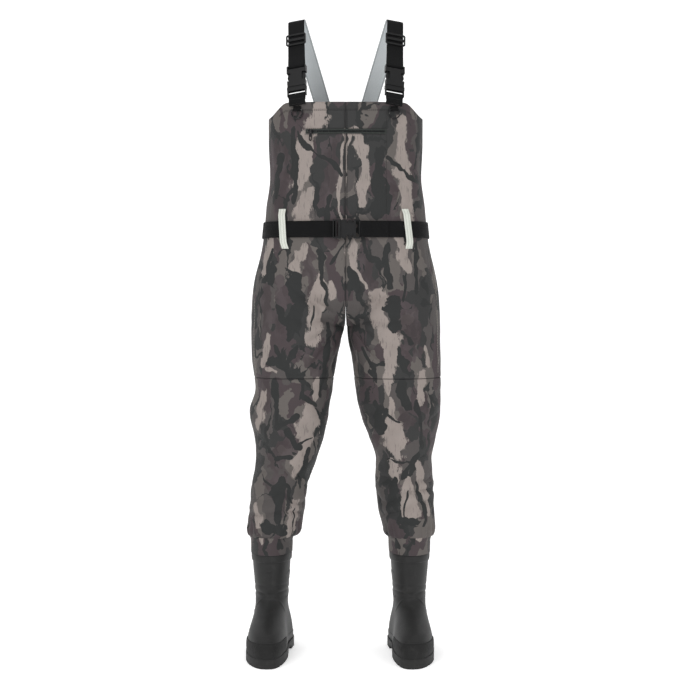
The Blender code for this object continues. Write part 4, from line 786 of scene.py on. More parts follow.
def upper_panel(side, face):
    """Half of the front or back: bib, hip and thigh in one piece, from the top edge to the knee seam."""
    label = "front" if face > 0 else "back"
    shares, levels = panel_shares(int(128 * FINE)), np.linspace(0.0, 1.0, int(290 * FINE))
    share, level = np.meshgrid(shares, levels)
    height = TOP_Z + (KNEE_Z - TOP_Z) * level
    fade = np.clip((height - BELT_Z - 0.08) / (TOP_Z - BELT_Z - 0.08), 0.0, 1.0)
    height = height - top_edge(side, face, share) * fade**1.5
    flat = smooth_cloth(side, face, share, height)
    seam = seam_groove(cloth_run(flat)[0], height, 9.0, KNEE_Z)
    outer, outward = cloth(side, face, share, height)
    outer = outer - outward * (SEAM_DIP * seam**2)[..., None]
    name = f"{side}_{label}_panel_cloth"
    mesh = sheet_mesh(name, outer, outward, FABRIC)
    print_on(mesh, face, flat, height, seam)
    panel = add_object(name, mesh, CAMO, LINING)
    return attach(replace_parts(panel, f"{side}_{label}_panel"), "garment")


def hem_rows(side, face, share, last, outward, rows=12):
    """The leg's lower end turns in over the cuff: a quarter turn and a little more, two thirds of the way in."""
    turn = np.radians(np.linspace(0.0, 104.0, rows + 1)[1:])[:, None]
    cuff = boot_section(side, face * (1 - share) * math.pi, np.full(share.shape, CUFF_TOP_Z), 0.004)
    inward = (cuff - last)[None] * (0.62 * (1 - np.cos(turn)))[..., None]
    rings = last[None] + inward
    rings[..., 2] = HEM_Z + 0.018 * (1 - np.sin(np.minimum(turn, math.pi / 2)))
    down = np.array([0.0, 0.0, -1.0])
    turned = outward[None] * np.cos(turn)[..., None] + down * np.sin(turn)[..., None]
    return rings, turned


def lower_panel(side, face):
    """Half of the lower leg, from the knee seam down to the hem that hangs over the boot."""
    label = "front" if face > 0 else "back"
    shares, levels = panel_shares(int(112 * FINE)), np.linspace(0.0, 1.0, int(165 * FINE))
    share, level = np.meshgrid(shares, levels)
    height = KNEE_Z - 0.0006 + (HEM_Z + 0.018 - KNEE_Z) * level
    flat = smooth_cloth(side, face, share, height)
    seam = seam_groove(cloth_run(flat)[0], height, KNEE_Z, 0.0)
    outer, outward = cloth(side, face, share, height)
    outer = outer - outward * (SEAM_DIP * seam**2)[..., None]
    rings, turned = hem_rows(side, face, shares, outer[-1], outward[-1])
    outer, outward = np.concatenate([outer, rings]), np.concatenate([outward, turned])
    flat = np.concatenate([flat, np.repeat(flat[-1:], len(rings), axis=0)])
    extra = np.linspace(0.0, 0.030, len(rings) + 1)[1:, None]
    height = np.concatenate([height, height[-1:] - extra])
    seam = np.concatenate([seam, np.repeat(seam[-1:], len(rings), axis=0)])
    name = f"{side}_{label}_leg_cloth"
    mesh = sheet_mesh(name, outer, outward, FABRIC)
    print_on(mesh, face, flat, height, seam)
    panel = add_object(name, mesh, CAMO, LINING)
    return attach(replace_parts(panel, f"{side}_{label}_leg_panel"), "garment")


# %% [markdown]
# ## The boots' form
# A boot's outline at a height grows from the round shaft into the foot's outline: wider powers of sine and
# cosine, a waist at the arch, and a toe that turns inward. The same formula gives the upper, its toe cap, the
# cuff and the weld band, each a little further out.

# %% Boot outline
BOOT_X = {"right": -0.1705, "left": 0.1470}
BOOT_Y = 0.016
BOOT_TURN = {"right": math.radians(-3.5), "left": math.radians(2.5)}
SHAFT_TOP_Z, SOLE_TOP_Z, BOOT_WALL = 0.243, 0.0205, 0.0030
# height, front and back reach from the shaft's axis, half width, how much of a foot it is
BOOT_GIRTHS = [
    (0.243, -0.0690, 0.0640, 0.0445, 0.00), (0.200, -0.0680, 0.0630, 0.0430, 0.00),
    (0.160, -0.0640, 0.0590, 0.0395, 0.00), (0.128, -0.0620, 0.0560, 0.0370, 0.05),
    (0.108, -0.0760, 0.0560, 0.0370, 0.20), (0.092, -0.1040, 0.0575, 0.0385, 0.45),
    (0.078, -0.1420, 0.0590, 0.0415, 0.70), (0.064, -0.1800, 0.0605, 0.0445, 0.90),
    (0.048, -0.2020, 0.0620, 0.0470, 1.00), (0.034, -0.2090, 0.0635, 0.0480, 1.00),
    (0.0208, -0.2100, 0.0640, 0.0470, 1.00),
]


def boot_section(side, angle, height, offset=0.0):
    """A point of the boot's outline: angle 0 is the outer side, 90 degrees the toe."""
    front, back, half_width, footness = np.moveaxis(between(BOOT_GIRTHS, height), -1, 0)
    cosine, sine = np.cos(angle), np.sin(angle)
    roundness = 2.0 + 0.7 * footness
    reach = np.where(sine > 0, -front, back) + offset
    y = -np.sign(sine) * np.abs(sine) ** (2 / roundness) * reach
    x = np.sign(cosine) * np.abs(cosine) ** (2 / roundness) * (half_width + offset)
    waist = np.exp(-(((y + 0.045) / 0.045) ** 2)) * np.where(cosine > 0, 0.05, 0.14) * footness
    toe = np.clip((-y - 0.10) / 0.11, 0.0, 1.0) ** 2 * footness
    x = (x * (1 - waist) * (1 - 0.10 * toe) - 0.010 * toe) * SIDES[side]
    turned = BOOT_TURN[side]
    world_x = BOOT_X[side] + x * math.cos(turned) - y * math.sin(turned)
    world_y = BOOT_Y + x * math.sin(turned) + y * math.cos(turned)
    return np.stack([world_x, world_y, height + 0 * world_x], axis=-1) + ORIGIN


for face in (1, -1):
    for side in SIDES:
        made = [upper_panel(side, face), lower_panel(side, face)]
        print([f"{obj.name}: {len(obj.data.polygons)} faces" for obj in made])

# %% [markdown]
# ## Inside of the bib
# The seams are sealed from inside with heat-bonded tape, the top edge is folded over as a facing, and a flat
# pocket bag hangs behind the zip. Each is a strip that follows the folded cloth at a small depth.

# %% Tapes, facings and pocket
LAYER = 0.0006


def share_of(across, height):
    """The panel share at a distance from the middle plane: the body's superellipse turned round."""
    half_width = between(BODY_GIRTHS, height)[..., 0]
    cosine = np.clip(np.abs(across) / half_width, 0.0, 1.0) ** (BODY_ROUNDNESS / 2)
    return 1 - 2 / math.pi * np.arccos(cosine)


def on_bib(face, across, height, offset):
    """Points and outward directions over both halves of the front or back, by distance from the middle."""
    across, height = np.broadcast_arrays(np.asarray(across, float), np.asarray(height, float))
    share = share_of(across, height)
    left, right = cloth("left", face, share, height, offset), cloth("right", face, share, height, offset)
    on_left = (across >= 0)[..., None]
    return np.where(on_left, left[0], right[0]), np.where(on_left, left[1], right[1])


def flat_uv(mesh, points):
    """Coordinates along a strip, for weave and threads: across each row, and down the middle column."""
    across = cloth_run(points)[0]
    middle = points[:, points.shape[1] // 2]
    down = np.concatenate([[0.0], np.cumsum(np.linalg.norm(np.diff(middle, axis=0), axis=-1))])
    half = across[:, -1:] / 2
    lay_uv(mesh, "cloth_uv", doubled(np.stack([across - half, np.broadcast_to(down[:, None], across.shape)], -1)))


def strip(name, points, outward, thickness, slot, node, body, *materials):
    """A strip with weave coordinates, on a body, in place of a CAD node."""
    mesh = sheet_mesh(name, points, outward, thickness)
    flat_uv(mesh, points)
    obj = add_object(name, mesh, *materials)
    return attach(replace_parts(obj, node), body)


def tape_finish():
    """Bonded tape: smooth and slightly shiny, with a faint grid of the knit pressed through."""
    kit = Nodes("bonded_tape")
    uv = kit.uv()
    grid = weave(kit, uv, 0.0018)
    colour = kit.mix(kit.noise(uv, 60.0, 2.0), shade(44, 46, 48), shade(58, 60, 62))
    kit.bump(kit.math("MULTIPLY_ADD", grid, 0.3, kit.noise(uv, 90.0)), 0.0002, 0.4)
    return kit.finish(colour, 0.42)


TAPE = tape_finish()
TAPE_DEPTH = -(FABRIC + 2 * LAYER)
for face, label, top in ((1, "front", TOP_Z), (-1, "back", TOP_Z - BACK_DROP)):
    across, height = np.meshgrid(np.linspace(-0.011, 0.011, 9), np.linspace(top - 0.024, CROTCH_Z + 0.045, 190))
    points, outward = on_bib(face, across, height, TAPE_DEPTH)
    strip(f"{label}_seam_tape_film", points, outward, 0.0008, "seam_tape", f"{label}_seam_tape", "garment", TAPE)

for side in SIDES:
    height = np.linspace(TOP_Z - CORNER_DROP - 0.024, KNEE_Z + 0.006, 200)[:, None]
    shares = np.array([0.960, 0.975, 0.99])[None]
    front, front_out = cloth(side, 1, shares, height, TAPE_DEPTH)
    back, back_out = cloth(side, -1, shares[:, ::-1], height, TAPE_DEPTH)
    strip(f"{side}_side_seam_tape_film", np.concatenate([front, back], 1), np.concatenate([front_out, back_out], 1),
          0.0008, "seam_tape", f"{side}_side_seam_tape", "garment", TAPE)


def facing(face, label):
    """The top edge folded to the inside, a finger wide, from side seam to side seam."""
    shares = np.concatenate([np.linspace(0.93, 0.0, 90), np.linspace(0.0, 0.93, 90)[1:]])
    depth = np.linspace(0.0008, 0.021, 12)[:, None]
    height = TOP_Z - top_edge("left", face, shares)[None] - depth
    left, left_out = cloth("left", face, shares[None], height, -(FABRIC + 0.5 * LAYER))
    right, right_out = cloth("right", face, shares[None], height, -(FABRIC + 0.5 * LAYER))
    on_left = (np.arange(len(shares)) >= 90)[None, :, None]
    points, outward = np.where(on_left, left, right), np.where(on_left, left_out, right_out)
    name = f"{label}_hem_facing_cloth"
    mesh = sheet_mesh(name, points, outward, 0.0009)
    # Here the seam value is a band along the stitch line, which the cloth's material darkens as painted shade.
    print_on(mesh, face, points, height, np.clip(1 - np.abs(depth - 0.018) / 0.004, 0, 1) + 0 * height)
    obj = add_object(name, mesh, CAMO, CAMO)
    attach(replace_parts(obj, f"{label}_hem_facing"), "garment")


facing(1, "front")
facing(-1, "back")
POCKET_DEPTH = 0.150
across, down = np.meshgrid(np.linspace(-0.084, 0.082, 60), np.linspace(0.0, 1.0, 50))
height = ZIP_Z - 0.006 + (0.006 - POCKET_DEPTH) * down
slack = 0.0052 + 0.0033 * np.sin(math.pi * down) ** 0.6
points, outward = on_bib(1, across, height, -slack)
strip("pocket_bag_cloth", points, outward, 0.0028, "pocket_lining", "pocket_bag", "garment", LINING, LINING)
print("inside of the bib: tapes, facings, pocket bag")

# %% [markdown]
# ## Rubber boots
# The boots are injection moulded: one rubber shell with features of the mould left standing on it. The shell
# is the boot's outline plus a relief, a sum of raised bands, ribs and shallow wrinkles, so every feature is
# real geometry that catches the light. Under the cloth's cuff a smooth band marks where cloth is welded on.

# %% Rubber
def boot_rubber(name, base, grain, roughness):
    """Moulded rubber: nearly black, mottled by bloom and flecked with dust, fine grain in the gloss."""
    kit = Nodes(name)
    place = kit.place()
    cloud = kit.noise(place, 22.0, 4.0, 0.6)
    dust = kit.step(kit.noise(kit.stretched(place, (1.0, 1.0, 0.5)), 60.0, 5.0, 0.7), 0.50, 0.72)
    low = tuple(v * 0.75 for v in base)
    colour = kit.mix(cloud, low, tuple(v * 1.25 for v in base))
    colour = kit.mix(kit.math("MULTIPLY", dust, 0.10), colour, shade(78, 77, 75))
    scuffs = kit.step(kit.noise(kit.stretched(place, (1.0, 1.0, 6.0)), 130.0, 3.0, 0.7), 0.66, 0.74)
    colour = kit.mix(kit.math("MULTIPLY", scuffs, 0.10), colour, shade(112, 111, 109))
    fine = kit.noise(place, grain, 4.0, 0.6)
    rough = kit.math("MULTIPLY_ADD", cloud, 0.16, roughness)
    rough = kit.math("MULTIPLY_ADD", fine, 0.10, rough)
    kit.bump(fine, 0.00025, 0.45)
    return kit.finish(colour, rough, gloss=0.3)


RUBBER = boot_rubber("boot_rubber", shade(29, 29, 29), 900.0, 0.40)
CAP_RUBBER = boot_rubber("toe_cap_rubber", shade(24, 24, 24), 420.0, 0.62)
SOLE_RUBBER = boot_rubber("sole_rubber", shade(36, 36, 36), 600.0, 0.60)


def felt():
    """Insole felt: matted fibres, light grey on charcoal."""
    kit = Nodes("insole_felt")
    place = kit.place()
    fibres = kit.noise(kit.stretched(place, (1.0, 4.0, 1.0)), 900.0, 4.0, 0.7)
    kit.bump(fibres, 0.0006, 0.8)
    return kit.finish(kit.mix(fibres, shade(50, 50, 52), shade(92, 92, 94)), 0.95, sheen=0.05)


FELT = felt()


# %% Relief of the mould
def bump_at(value, centre, reach, edge=0.0008):
    """A raised flat band: 1 within the reach of the centre, with edges that fall off smoothly."""
    return ease((reach - np.abs(value - centre)) / edge + 0.5)


def boot_relief(angle, height):
    """How far the mould's features stand out: foot band, heel counter, ankle wrinkles, ribs and piping."""
    turn = np.mod(angle, 2 * math.pi)
    from_toe = np.abs(np.mod(turn - math.pi / 2 + math.pi, 2 * math.pi) - math.pi)
    at_heel = np.abs(turn - 1.5 * math.pi)
    relief = 0.0012 * ease((0.036 - height) / 0.0012 + 0.5)
    relief = relief - 0.0007 * near(height, 0.0372, 0.0009)
    counter_top = 0.095 - 0.020 * np.clip(at_heel / 0.9, 0, 1.2) ** 2
    counter = ease((counter_top - height) / 0.0016) * ease((0.95 - at_heel) / 0.03)
    relief = relief + 0.0010 * counter
    vamp_top = 0.128 - 0.052 * (1 - np.cos(np.clip(from_toe, 0, 1.5)))
    relief = relief + 0.0011 * near(height, vamp_top, 0.0017) * ease((1.35 - from_toe) / 0.1)
    instep = near(from_toe, 0.0, 0.16) * ease((0.125 - height) / 0.01) * ease((height - 0.066) / 0.01)
    relief = relief + 0.0013 * instep
    for level in (0.186, 0.180, 0.130, 0.1245):
        relief = relief + 0.0009 * near(height, level, 0.0010) * ease((0.22 - from_toe) / 0.05)
    wave = lattice_noise(np.stack([np.cos(turn) * 0.04, np.sin(turn) * 0.04, height], -1), (0.03, 0.03, 0.03), 71)
    ankle = near(height, 0.140, 0.016)
    relief = relief + 0.0016 * ankle * (pleat(height / 0.017 + 0.5 * wave) - 0.5)
    inner = near(turn, math.pi - 0.15, 0.42)
    hook = np.hypot((turn - math.pi + 0.15) / 0.50, (height - 0.150) / 0.030)
    opening = ease((turn - math.pi + 0.45) / 0.2)
    relief = relief + 0.0012 * near(hook, 1.0, 0.07) * opening * ease(inner / 0.2)
    spur = ease((0.20 - height) / 0.01) * ease((height - 0.10) / 0.01)
    relief = relief + 0.0008 * bump_at(at_heel, 0.0, 0.10, 0.03) * spur
    soft = lattice_noise(np.stack([np.cos(turn) * 0.06, np.sin(turn) * 0.06, height], -1), (0.04, 0.04, 0.05), 77)
    return relief + 0.0009 * soft * ease((height - 0.10) / 0.03)


def round_rows(side, heights, offset, columns, relief=False):
    """Closed rings round a boot at the given heights, offset and with or without the mould's relief."""
    angle, height = np.meshgrid(np.linspace(0.0, 2 * math.pi, columns, endpoint=False), heights)
    offset = np.broadcast_to(np.asarray(offset)[..., None] if np.ndim(offset) else offset, angle.shape)
    if relief:
        offset = offset + boot_relief(angle, height)
    points = boot_section(side, angle, height, offset)
    along = np.roll(points, -1, axis=1) - np.roll(points, 1, axis=1)
    upward = np.gradient(points, axis=0) * -np.sign(heights[-1] - heights[0])
    outward = np.cross(along, upward)
    outward *= np.sign((outward[..., :2] * (points[..., :2] - points[..., :2].mean(axis=1, keepdims=True))).sum()) or 1
    return points, outward / np.maximum(np.linalg.norm(outward, axis=-1, keepdims=True), 1e-12)


def ring_piece(name, points, outward, thickness, slot, nodes, *materials):
    """A closed band or shell round a boot, in place of CAD nodes."""
    obj = add_object(name, sheet_mesh(name, points, outward, thickness, wrap=True), *materials)
    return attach(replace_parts(obj, *nodes), "garment")


def boot_pieces(side):
    """Upper, weld band, cuff and toe cap of one boot."""
    heights = np.linspace(SHAFT_TOP_Z, SOLE_TOP_Z + 0.0004, int(200 * FINE))
    points, outward = round_rows(side, heights, 0.0, int(176 * FINE), relief=True)
    flat = np.concatenate([np.zeros_like(heights[heights > 0.13]), ease((0.13 - heights[heights <= 0.13]) / 0.02)])
    level = outward.copy()
    level[..., 2] *= (1 - 0.5 * flat)[:, None]
    level /= np.linalg.norm(level, axis=-1, keepdims=True)
    ring_piece(f"{side}_boot_shell", points, level, BOOT_WALL * 0.8, "boot_rubber", [f"{side}_boot_upper"],
               RUBBER, LINING)
    band = np.linspace(CUFF_BOTTOM_Z - 0.0003, 0.2070, 16)
    bulge = 0.0022 + 0.0007 * np.sin(math.pi * np.linspace(0, 1, 16)) ** 0.5
    points, outward = round_rows(side, band, bulge, 120)
    ring_piece(f"{side}_weld_ring", points, outward, 0.0014, "boot_rubber", [f"{side}_boot_weld_band"], RUBBER)
    heights = np.linspace(CUFF_TOP_Z + 0.010, CUFF_BOTTOM_Z, 34)
    gather = np.linspace(0.0, 2 * math.pi, 200, endpoint=False)
    points, outward = round_rows(side, heights, 0.0036 + 0.0020 * ease((heights - 0.25) / 0.012), 200)
    wave = lattice_noise(np.stack([np.cos(gather) * 0.04, np.sin(gather) * 0.04, 0 * gather], -1), 0.012, 91)
    points = points + outward * (0.0008 * wave[None] * np.sin(math.pi * np.linspace(0, 1, 34))[:, None])[..., None]
    name = f"{side}_cuff_cloth"
    mesh = sheet_mesh(name, points, outward, FABRIC * 0.9, wrap=True)
    ring_run = 0.052 * gather * (1 if side == "left" else -1)
    across = np.broadcast_to(ring_run + SIDES[side] * 0.05, points.shape[:2])
    lay_uv(mesh, "cloth_uv", doubled(np.stack([across, points[..., 2]], -1)))
    strokes = {"pale": scattered_strokes(23, 60, (0.02, 0.05), (0.004, 0.010)),
               "dark": scattered_strokes(27, 90, (0.02, 0.05), (0.004, 0.010)), "brown": []}
    for kind, group in strokes.items():
        paint(mesh, kind, doubled(print_height(np.mod(across, 0.33) - 0.165, points[..., 2], group)))
    # The seam value is high at the cuff's lower edge, which the cloth's material darkens as painted shade where the
    # cuff meets the weld ring.
    paint(mesh, "seam", doubled(np.clip(1 - (points[..., 2] - CUFF_BOTTOM_Z) / 0.003, 0, 1)))
    cuff = add_object(name, mesh, CAMO, LINING)
    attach(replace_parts(cuff, f"{side}_cuff"), "garment")
    cap_angles, cap_heights = np.radians(np.linspace(24.0, 156.0, 150)), np.linspace(0.0535, SOLE_TOP_Z + 0.0004, 46)
    angle, height = np.meshgrid(cap_angles, cap_heights)
    edge = 0.048 + 0.0055 * np.abs(np.sin(angle)) ** 3
    height = SOLE_TOP_Z + 0.0004 + (edge - SOLE_TOP_Z - 0.0004) * (height - height.min()) / np.ptp(height)
    points = boot_section(side, angle, height, 0.0)
    pebbles = lattice_noise(points, 0.0034, 95) + 0.6 * lattice_noise(points, 0.0018, 96)
    rim = ease(np.minimum(edge - height, 1) / 0.0015)
    ends = ease((66 - np.abs(np.degrees(angle) - 90)) / 1.5)
    lift = 0.0016 + rim * ends * (0.0006 + 0.00032 * pebbles)
    raised = boot_section(side, angle, height, lift)
    outward = raised - points
    outward /= np.linalg.norm(outward, axis=-1, keepdims=True)
    name = f"{side}_toe_cap_rubber"
    cap = add_object(name, sheet_mesh(name, raised, outward, 0.0016), CAP_RUBBER)
    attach(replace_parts(cap, f"{side}_toe_cap"), "garment")


for side in SIDES:
    boot_pieces(side)
print("boots: shell, weld ring, cuff and toe cap each")

# %% [markdown]
# ## Webbing
# Webbing is woven in a long flat ribbon: thick cross ribs, and a tight edge on each side. Every piece of it is
# a path with a width direction at each point, carried into a grid, so the weave's coordinates run along the
# ribbon and stay true where it folds. The shoulder straps are black outside and pale grey inside, and the
# grey shows where they come down at the back.

# %% Webbing finish
def webbing(name, dark, bright, edge, half_width, sheen=0.02):
    """Ribbed weave: cross ribs whose phase shifts from one yarn to the next, and a line along each edge."""
    kit = Nodes(name)
    uv = kit.uv()
    parts = kit.add("ShaderNodeSeparateXYZ", 0, Vector=uv).node
    u, v = parts.outputs[0], parts.outputs[1]
    yarn = kit.math("SINE", kit.math("MULTIPLY", u, 2 * math.pi / 0.0026))
    phase = kit.math("MULTIPLY_ADD", v, 2 * math.pi / 0.0017, kit.math("MULTIPLY", yarn, 1.5))
    rib = kit.math("MULTIPLY_ADD", kit.math("SINE", phase), 0.5, 0.5)
    fuzz = kit.noise(kit.stretched(uv, (1.0, 0.4, 1.0)), 1500.0, 2.0)
    cloud = kit.noise(uv, 45.0, 3.0)
    colour = kit.mix(rib, dark, bright)
    colour = kit.mix(kit.math("MULTIPLY", cloud, 0.35), colour, dark)
    side = kit.math("ABSOLUTE", u)
    line = kit.math("MULTIPLY", kit.step(side, half_width - 0.0034, half_width - 0.0028),
                    kit.math("SUBTRACT", 1.0, kit.step(side, half_width - 0.0018, half_width - 0.0012)))
    colour = kit.mix(kit.math("MULTIPLY", line, 0.7), colour, edge)
    kit.bump(kit.math("MULTIPLY_ADD", fuzz, 0.3, rib), 0.00035, 0.6)
    return kit.finish(colour, 0.72, sheen=sheen, gloss=0.12)


STRAP_WIDTH, STRAP, BELT_WIDTH, BELT = 0.038, 0.0022, 0.036, 0.0022
LOOP_WIDTH, LOOP_HEIGHT, LOOP = 0.012, 0.088, 0.0016
BLACK_WEB = webbing("black_webbing", shade(5, 5, 6), shade(18, 18, 19), shade(8, 8, 8), STRAP_WIDTH / 2)
# Painted light: the grey webbing is brighter than its own grey, to make up for the shade on the straps' inner faces at
# the back.
GREY_WEB = webbing("grey_webbing", shade(186, 191, 193), shade(220, 225, 227), shade(128, 133, 136), STRAP_WIDTH / 2)
PALE_WEB = webbing("pale_webbing", shade(186, 189, 180), shade(222, 225, 217), shade(160, 163, 154), LOOP_WIDTH / 2)


# %% Ribbons along a path
def even_path(points, widths, spacing=0.0016, passes=2):
    """The path at even spacing, its corners rounded by a few passes of averaging with both neighbours."""
    points, widths = np.asarray(points, float), np.asarray(widths, float)
    run = np.concatenate([[0.0], np.cumsum(np.linalg.norm(np.diff(points, axis=0), axis=1))])
    at = np.linspace(0.0, run[-1], max(int(run[-1] / spacing), 8))
    both = [np.stack([np.interp(at, run, values[:, k]) for k in range(3)], axis=1) for values in (points, widths)]
    for _ in range(passes):
        for values in both:
            values[1:-1] = (values[:-2] + 2 * values[1:-1] + values[2:]) / 4
    return both[0], both[1] / np.linalg.norm(both[1], axis=1, keepdims=True)


def ribbon(name, points, widths, width, thickness, front, back, outward=1.0, columns=15):
    """A woven ribbon round its middle path, a little thinner at the edges; outward picks its front face."""
    points, widths = even_path(points, widths)
    ahead = np.gradient(points, axis=0)
    normal = np.cross(widths, ahead) * outward
    normal /= np.linalg.norm(normal, axis=1, keepdims=True)
    across = np.linspace(-0.5, 0.5, columns)
    grid = points[:, None] + widths[:, None] * (across * width)[None, :, None]
    crown = 1 - 0.35 * np.abs(2 * across) ** 8
    outer = grid + normal[:, None] * (thickness / 2 * crown)[None, :, None]
    normals = np.broadcast_to(normal[:, None], outer.shape) * crown[None, :, None]
    mesh = sheet_mesh(name, outer, normals, thickness)
    flat_uv(mesh, outer)
    return add_object(name, mesh, front, back)


def arc(centre, radius, start, end, count=14):
    """Points on a circle in a plane's two coordinates, angles in degrees."""
    turn = np.radians(np.linspace(start, end, count))
    return [(centre[0] + radius * math.cos(t), centre[1] + radius * math.sin(t)) for t in turn]


# %% [markdown]
# ## Shoulder straps
# From the bib upward: a tab sewn over the top edge, the buckle's plug, its socket, a loop of webbing through the
# socket's bar, a slide adjuster, and the strap itself, which folds over at the shoulder and comes down inside
# the back. All lie on one line, the strap's frame: across, back and up along the strap.

# %% The strap's frame
STRAP_TOP = np.array([0.111, -0.012, 1.436])
FOLD_RADIUS, STRAP_BACK_X, WEB_MIDDLE = 0.009, 0.047, -0.0030
BUCKLE_START, INSERT, HOUSING, BAR_HALF, BAR_HEIGHT = 0.014, 0.024, 0.056, 0.0016, 0.0045
ADJUSTER_START, SEAM_GAP = 0.146, 0.0003
STRAP_LAP = 0.0024      # the strap starts this far below the adjuster, between the loop's two strands


def unit(vector):
    return np.asarray(vector, float) / np.linalg.norm(vector)


def strap_frame(side, lean=True):
    """Origin on the bib's edge, then across, back and up. Leaning, it follows the strap; else it is upright."""
    angle = (1 - share_of(np.array(STRAP_X), np.array(TOP_Z))) * math.pi / 2
    foot = body_section(side, 1, angle, np.array(TOP_Z), LAYER) + ORIGIN
    slope = body_section(side, 1, angle - 0.02, np.array(TOP_Z), LAYER) + ORIGIN - foot
    turn = math.atan2(slope[1], abs(slope[0]))
    across = np.array([math.cos(turn), SIDES[side] * math.sin(turn), 0.0])
    fold = STRAP_TOP * [SIDES[side], 1, 1] - [0, 0, FOLD_RADIUS] + ORIGIN
    up = unit(fold - foot) if lean else np.array([0.0, 0.0, 1.0])
    across = unit(across - (across @ up) * up)
    return foot, across, np.cross(up, across), up, np.linalg.norm(fold - foot)


def in_frame(frame_of, path):
    """Points of a path given as (back, up) pairs in the strap's middle plane."""
    origin, _, back, up = frame_of[:4]
    path = np.asarray(path, float)
    return origin + path[:, :1] * back + path[:, 1:] * up


def shoulder_strap(side):
    """Up from the adjuster, half a turn round the fold, and down to the inside of the back's edge."""
    origin, across, back, up, reach = strap_frame(side)
    start = origin + WEB_MIDDLE * back + up * (ADJUSTER_START - STRAP_LAP)
    crest = origin + WEB_MIDDLE * back + up * reach
    back_z = TOP_Z - BACK_DROP
    angle = (1 - share_of(np.array(STRAP_BACK_X), np.array(back_z))) * math.pi / 2
    inset = FABRIC + 2 * LAYER + 0.0008 + 0.0018 + STRAP / 2
    sewn = body_section(side, -1, angle, np.array(back_z), -inset) + ORIGIN
    nearby = body_section(side, -1, angle - 0.02, np.array(back_z), -inset) + ORIGIN - sewn
    sewn_across = unit(nearby * [1, 1, 0] * np.sign(nearby[0]))
    entry = sewn + [0.0, -0.0012, 0.0060]
    down = unit(entry - crest)
    axis = unit(np.cross(up, down))
    whole = math.acos(up @ down)
    centre = crest + np.cross(axis, up) * FOLD_RADIUS
    points, widths = [start, crest], [across, across]
    for step in np.linspace(0.0, 1.0, 15)[1:]:
        turned = np.array(Matrix.Rotation(whole * step, 3, Vector(axis)))
        points.append(centre + turned @ (crest - centre))
        widths.append(turned @ across)
    points += [entry, sewn + [0, -0.0002, -0.002], sewn + [0.0, 0.0, -0.030]]
    widths += [sewn_across] * 3
    widths = [w * np.sign(w[0]) for w in widths]
    strap = ribbon(f"{side}_shoulder_webbing", points, widths, STRAP_WIDTH, STRAP, BLACK_WEB, GREY_WEB, 1.0)
    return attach(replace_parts(strap, f"{side}_shoulder_strap"), "garment")


def loop_webbing(side):
    """Webbing that runs down from the adjuster, round the socket's bar and up again."""
    frame_of = strap_frame(side)
    across, up = frame_of[1], frame_of[3]
    bar = BUCKLE_START + INSERT + SEAM_GAP + HOUSING - BAR_HEIGHT / 2 - 0.0005
    bend = BAR_HALF + 0.0006 + STRAP / 2
    top, near_side = ADJUSTER_START - 0.0014, 0.0014
    path = [(-near_side, top), (-near_side - 0.0002, (top + bar) / 2), (-bend, bar + 0.0035)]
    path += arc((0.0, bar - 0.0012), bend, 180.0, 360.0)
    path += [(bend, bar + 0.0035), (near_side + 0.0002, (top + bar) / 2), (near_side, top)]
    points = in_frame(frame_of, np.array(path) + [WEB_MIDDLE, 0.0])
    widths = np.broadcast_to(across, points.shape)
    loop = ribbon(f"{side}_loop_webbing", points, widths, STRAP_WIDTH, STRAP * 0.95, BLACK_WEB, BLACK_WEB, -1.0)
    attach(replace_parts(loop, f"{side}_buckle_loop"), "garment")
    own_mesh(loop)
    return loop


def tab_webbing(side):
    """The doubled tab: up the bib's front, round the plug's bar, and down behind the edge."""
    frame_of = strap_frame(side)
    across, up = frame_of[1], frame_of[3]
    bar = BUCKLE_START + BAR_HEIGHT / 2
    bend = BAR_HALF + 0.0006 + STRAP / 2
    half, drop, lean = STRAP / 2 + 0.00005, 0.0085, math.acos(up[2])
    low = (WEB_MIDDLE - half + math.sin(lean) * drop, -math.cos(lean) * drop)
    path = [low, (WEB_MIDDLE - half, 0.0), (WEB_MIDDLE - half, 0.0070)]
    path += arc((WEB_MIDDLE, bar + 0.0014), bend, 195.0, -15.0)
    path += [(WEB_MIDDLE + half, 0.0070), (WEB_MIDDLE + half, 0.0036)]
    points = in_frame(frame_of, path)
    tab = ribbon(f"{side}_tab_webbing", points, np.broadcast_to(across, points.shape), STRAP_WIDTH, STRAP * 0.98,
                 BLACK_WEB, BLACK_WEB, 1.0)
    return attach(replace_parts(tab, f"{side}_bib_tab"), "garment")


RING_WIRE, RING_WIDTH, RING_BAR_DROP, KEEPER_WALL = 0.0016, 0.0250, 0.0172, 0.0014


def keeper_webbing(side):
    """The narrow loop under the tab that wraps the D-ring's straight bar."""
    frame_of = strap_frame(side, lean=False)
    flare = float(between(BODY_GIRTHS, TOP_Z - RING_BAR_DROP)[1] - between(BODY_GIRTHS, TOP_Z)[1])
    out = -(RING_WIRE + 0.0004 + KEEPER_WALL + LAYER + abs(flare))
    radius = RING_WIRE + 0.0004 + KEEPER_WALL / 2
    path = [(out + radius, -0.0088), (out + radius, -RING_BAR_DROP)]
    path += arc((out, -RING_BAR_DROP), radius, 0.0, -268.0)
    points = in_frame(frame_of, path)
    width = RING_WIDTH - 2 * RING_WIRE - 0.0040
    keeper = ribbon(f"{side}_keeper_webbing", points, np.broadcast_to(frame_of[1], points.shape), width,
                    KEEPER_WALL, BLACK_WEB, BLACK_WEB, -1.0)
    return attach(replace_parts(keeper, f"{side}_ring_keeper"), "garment")


for side in SIDES:
    made = [shoulder_strap(side), loop_webbing(side), tab_webbing(side), keeper_webbing(side)]
    print([obj.name for obj in made])

# %% [markdown]
# ## Belt
# The belt is one length of webbing round the waist. At the wearer's left it goes round the socket's bar and is
# sewn back on itself; at the right it climbs through the ladder lock's two slots, which grip it. Its path is
# given by the distance from the middle and by how far it stands off the cloth.

# %% Belt and its loops
BELT_STANDOFF = 0.0018
BELT_BUCKLE_X, BELT_INSERT, BELT_HOUSING, BUCKLE_THICKNESS = -0.0285, 0.018, 0.044, 0.0115


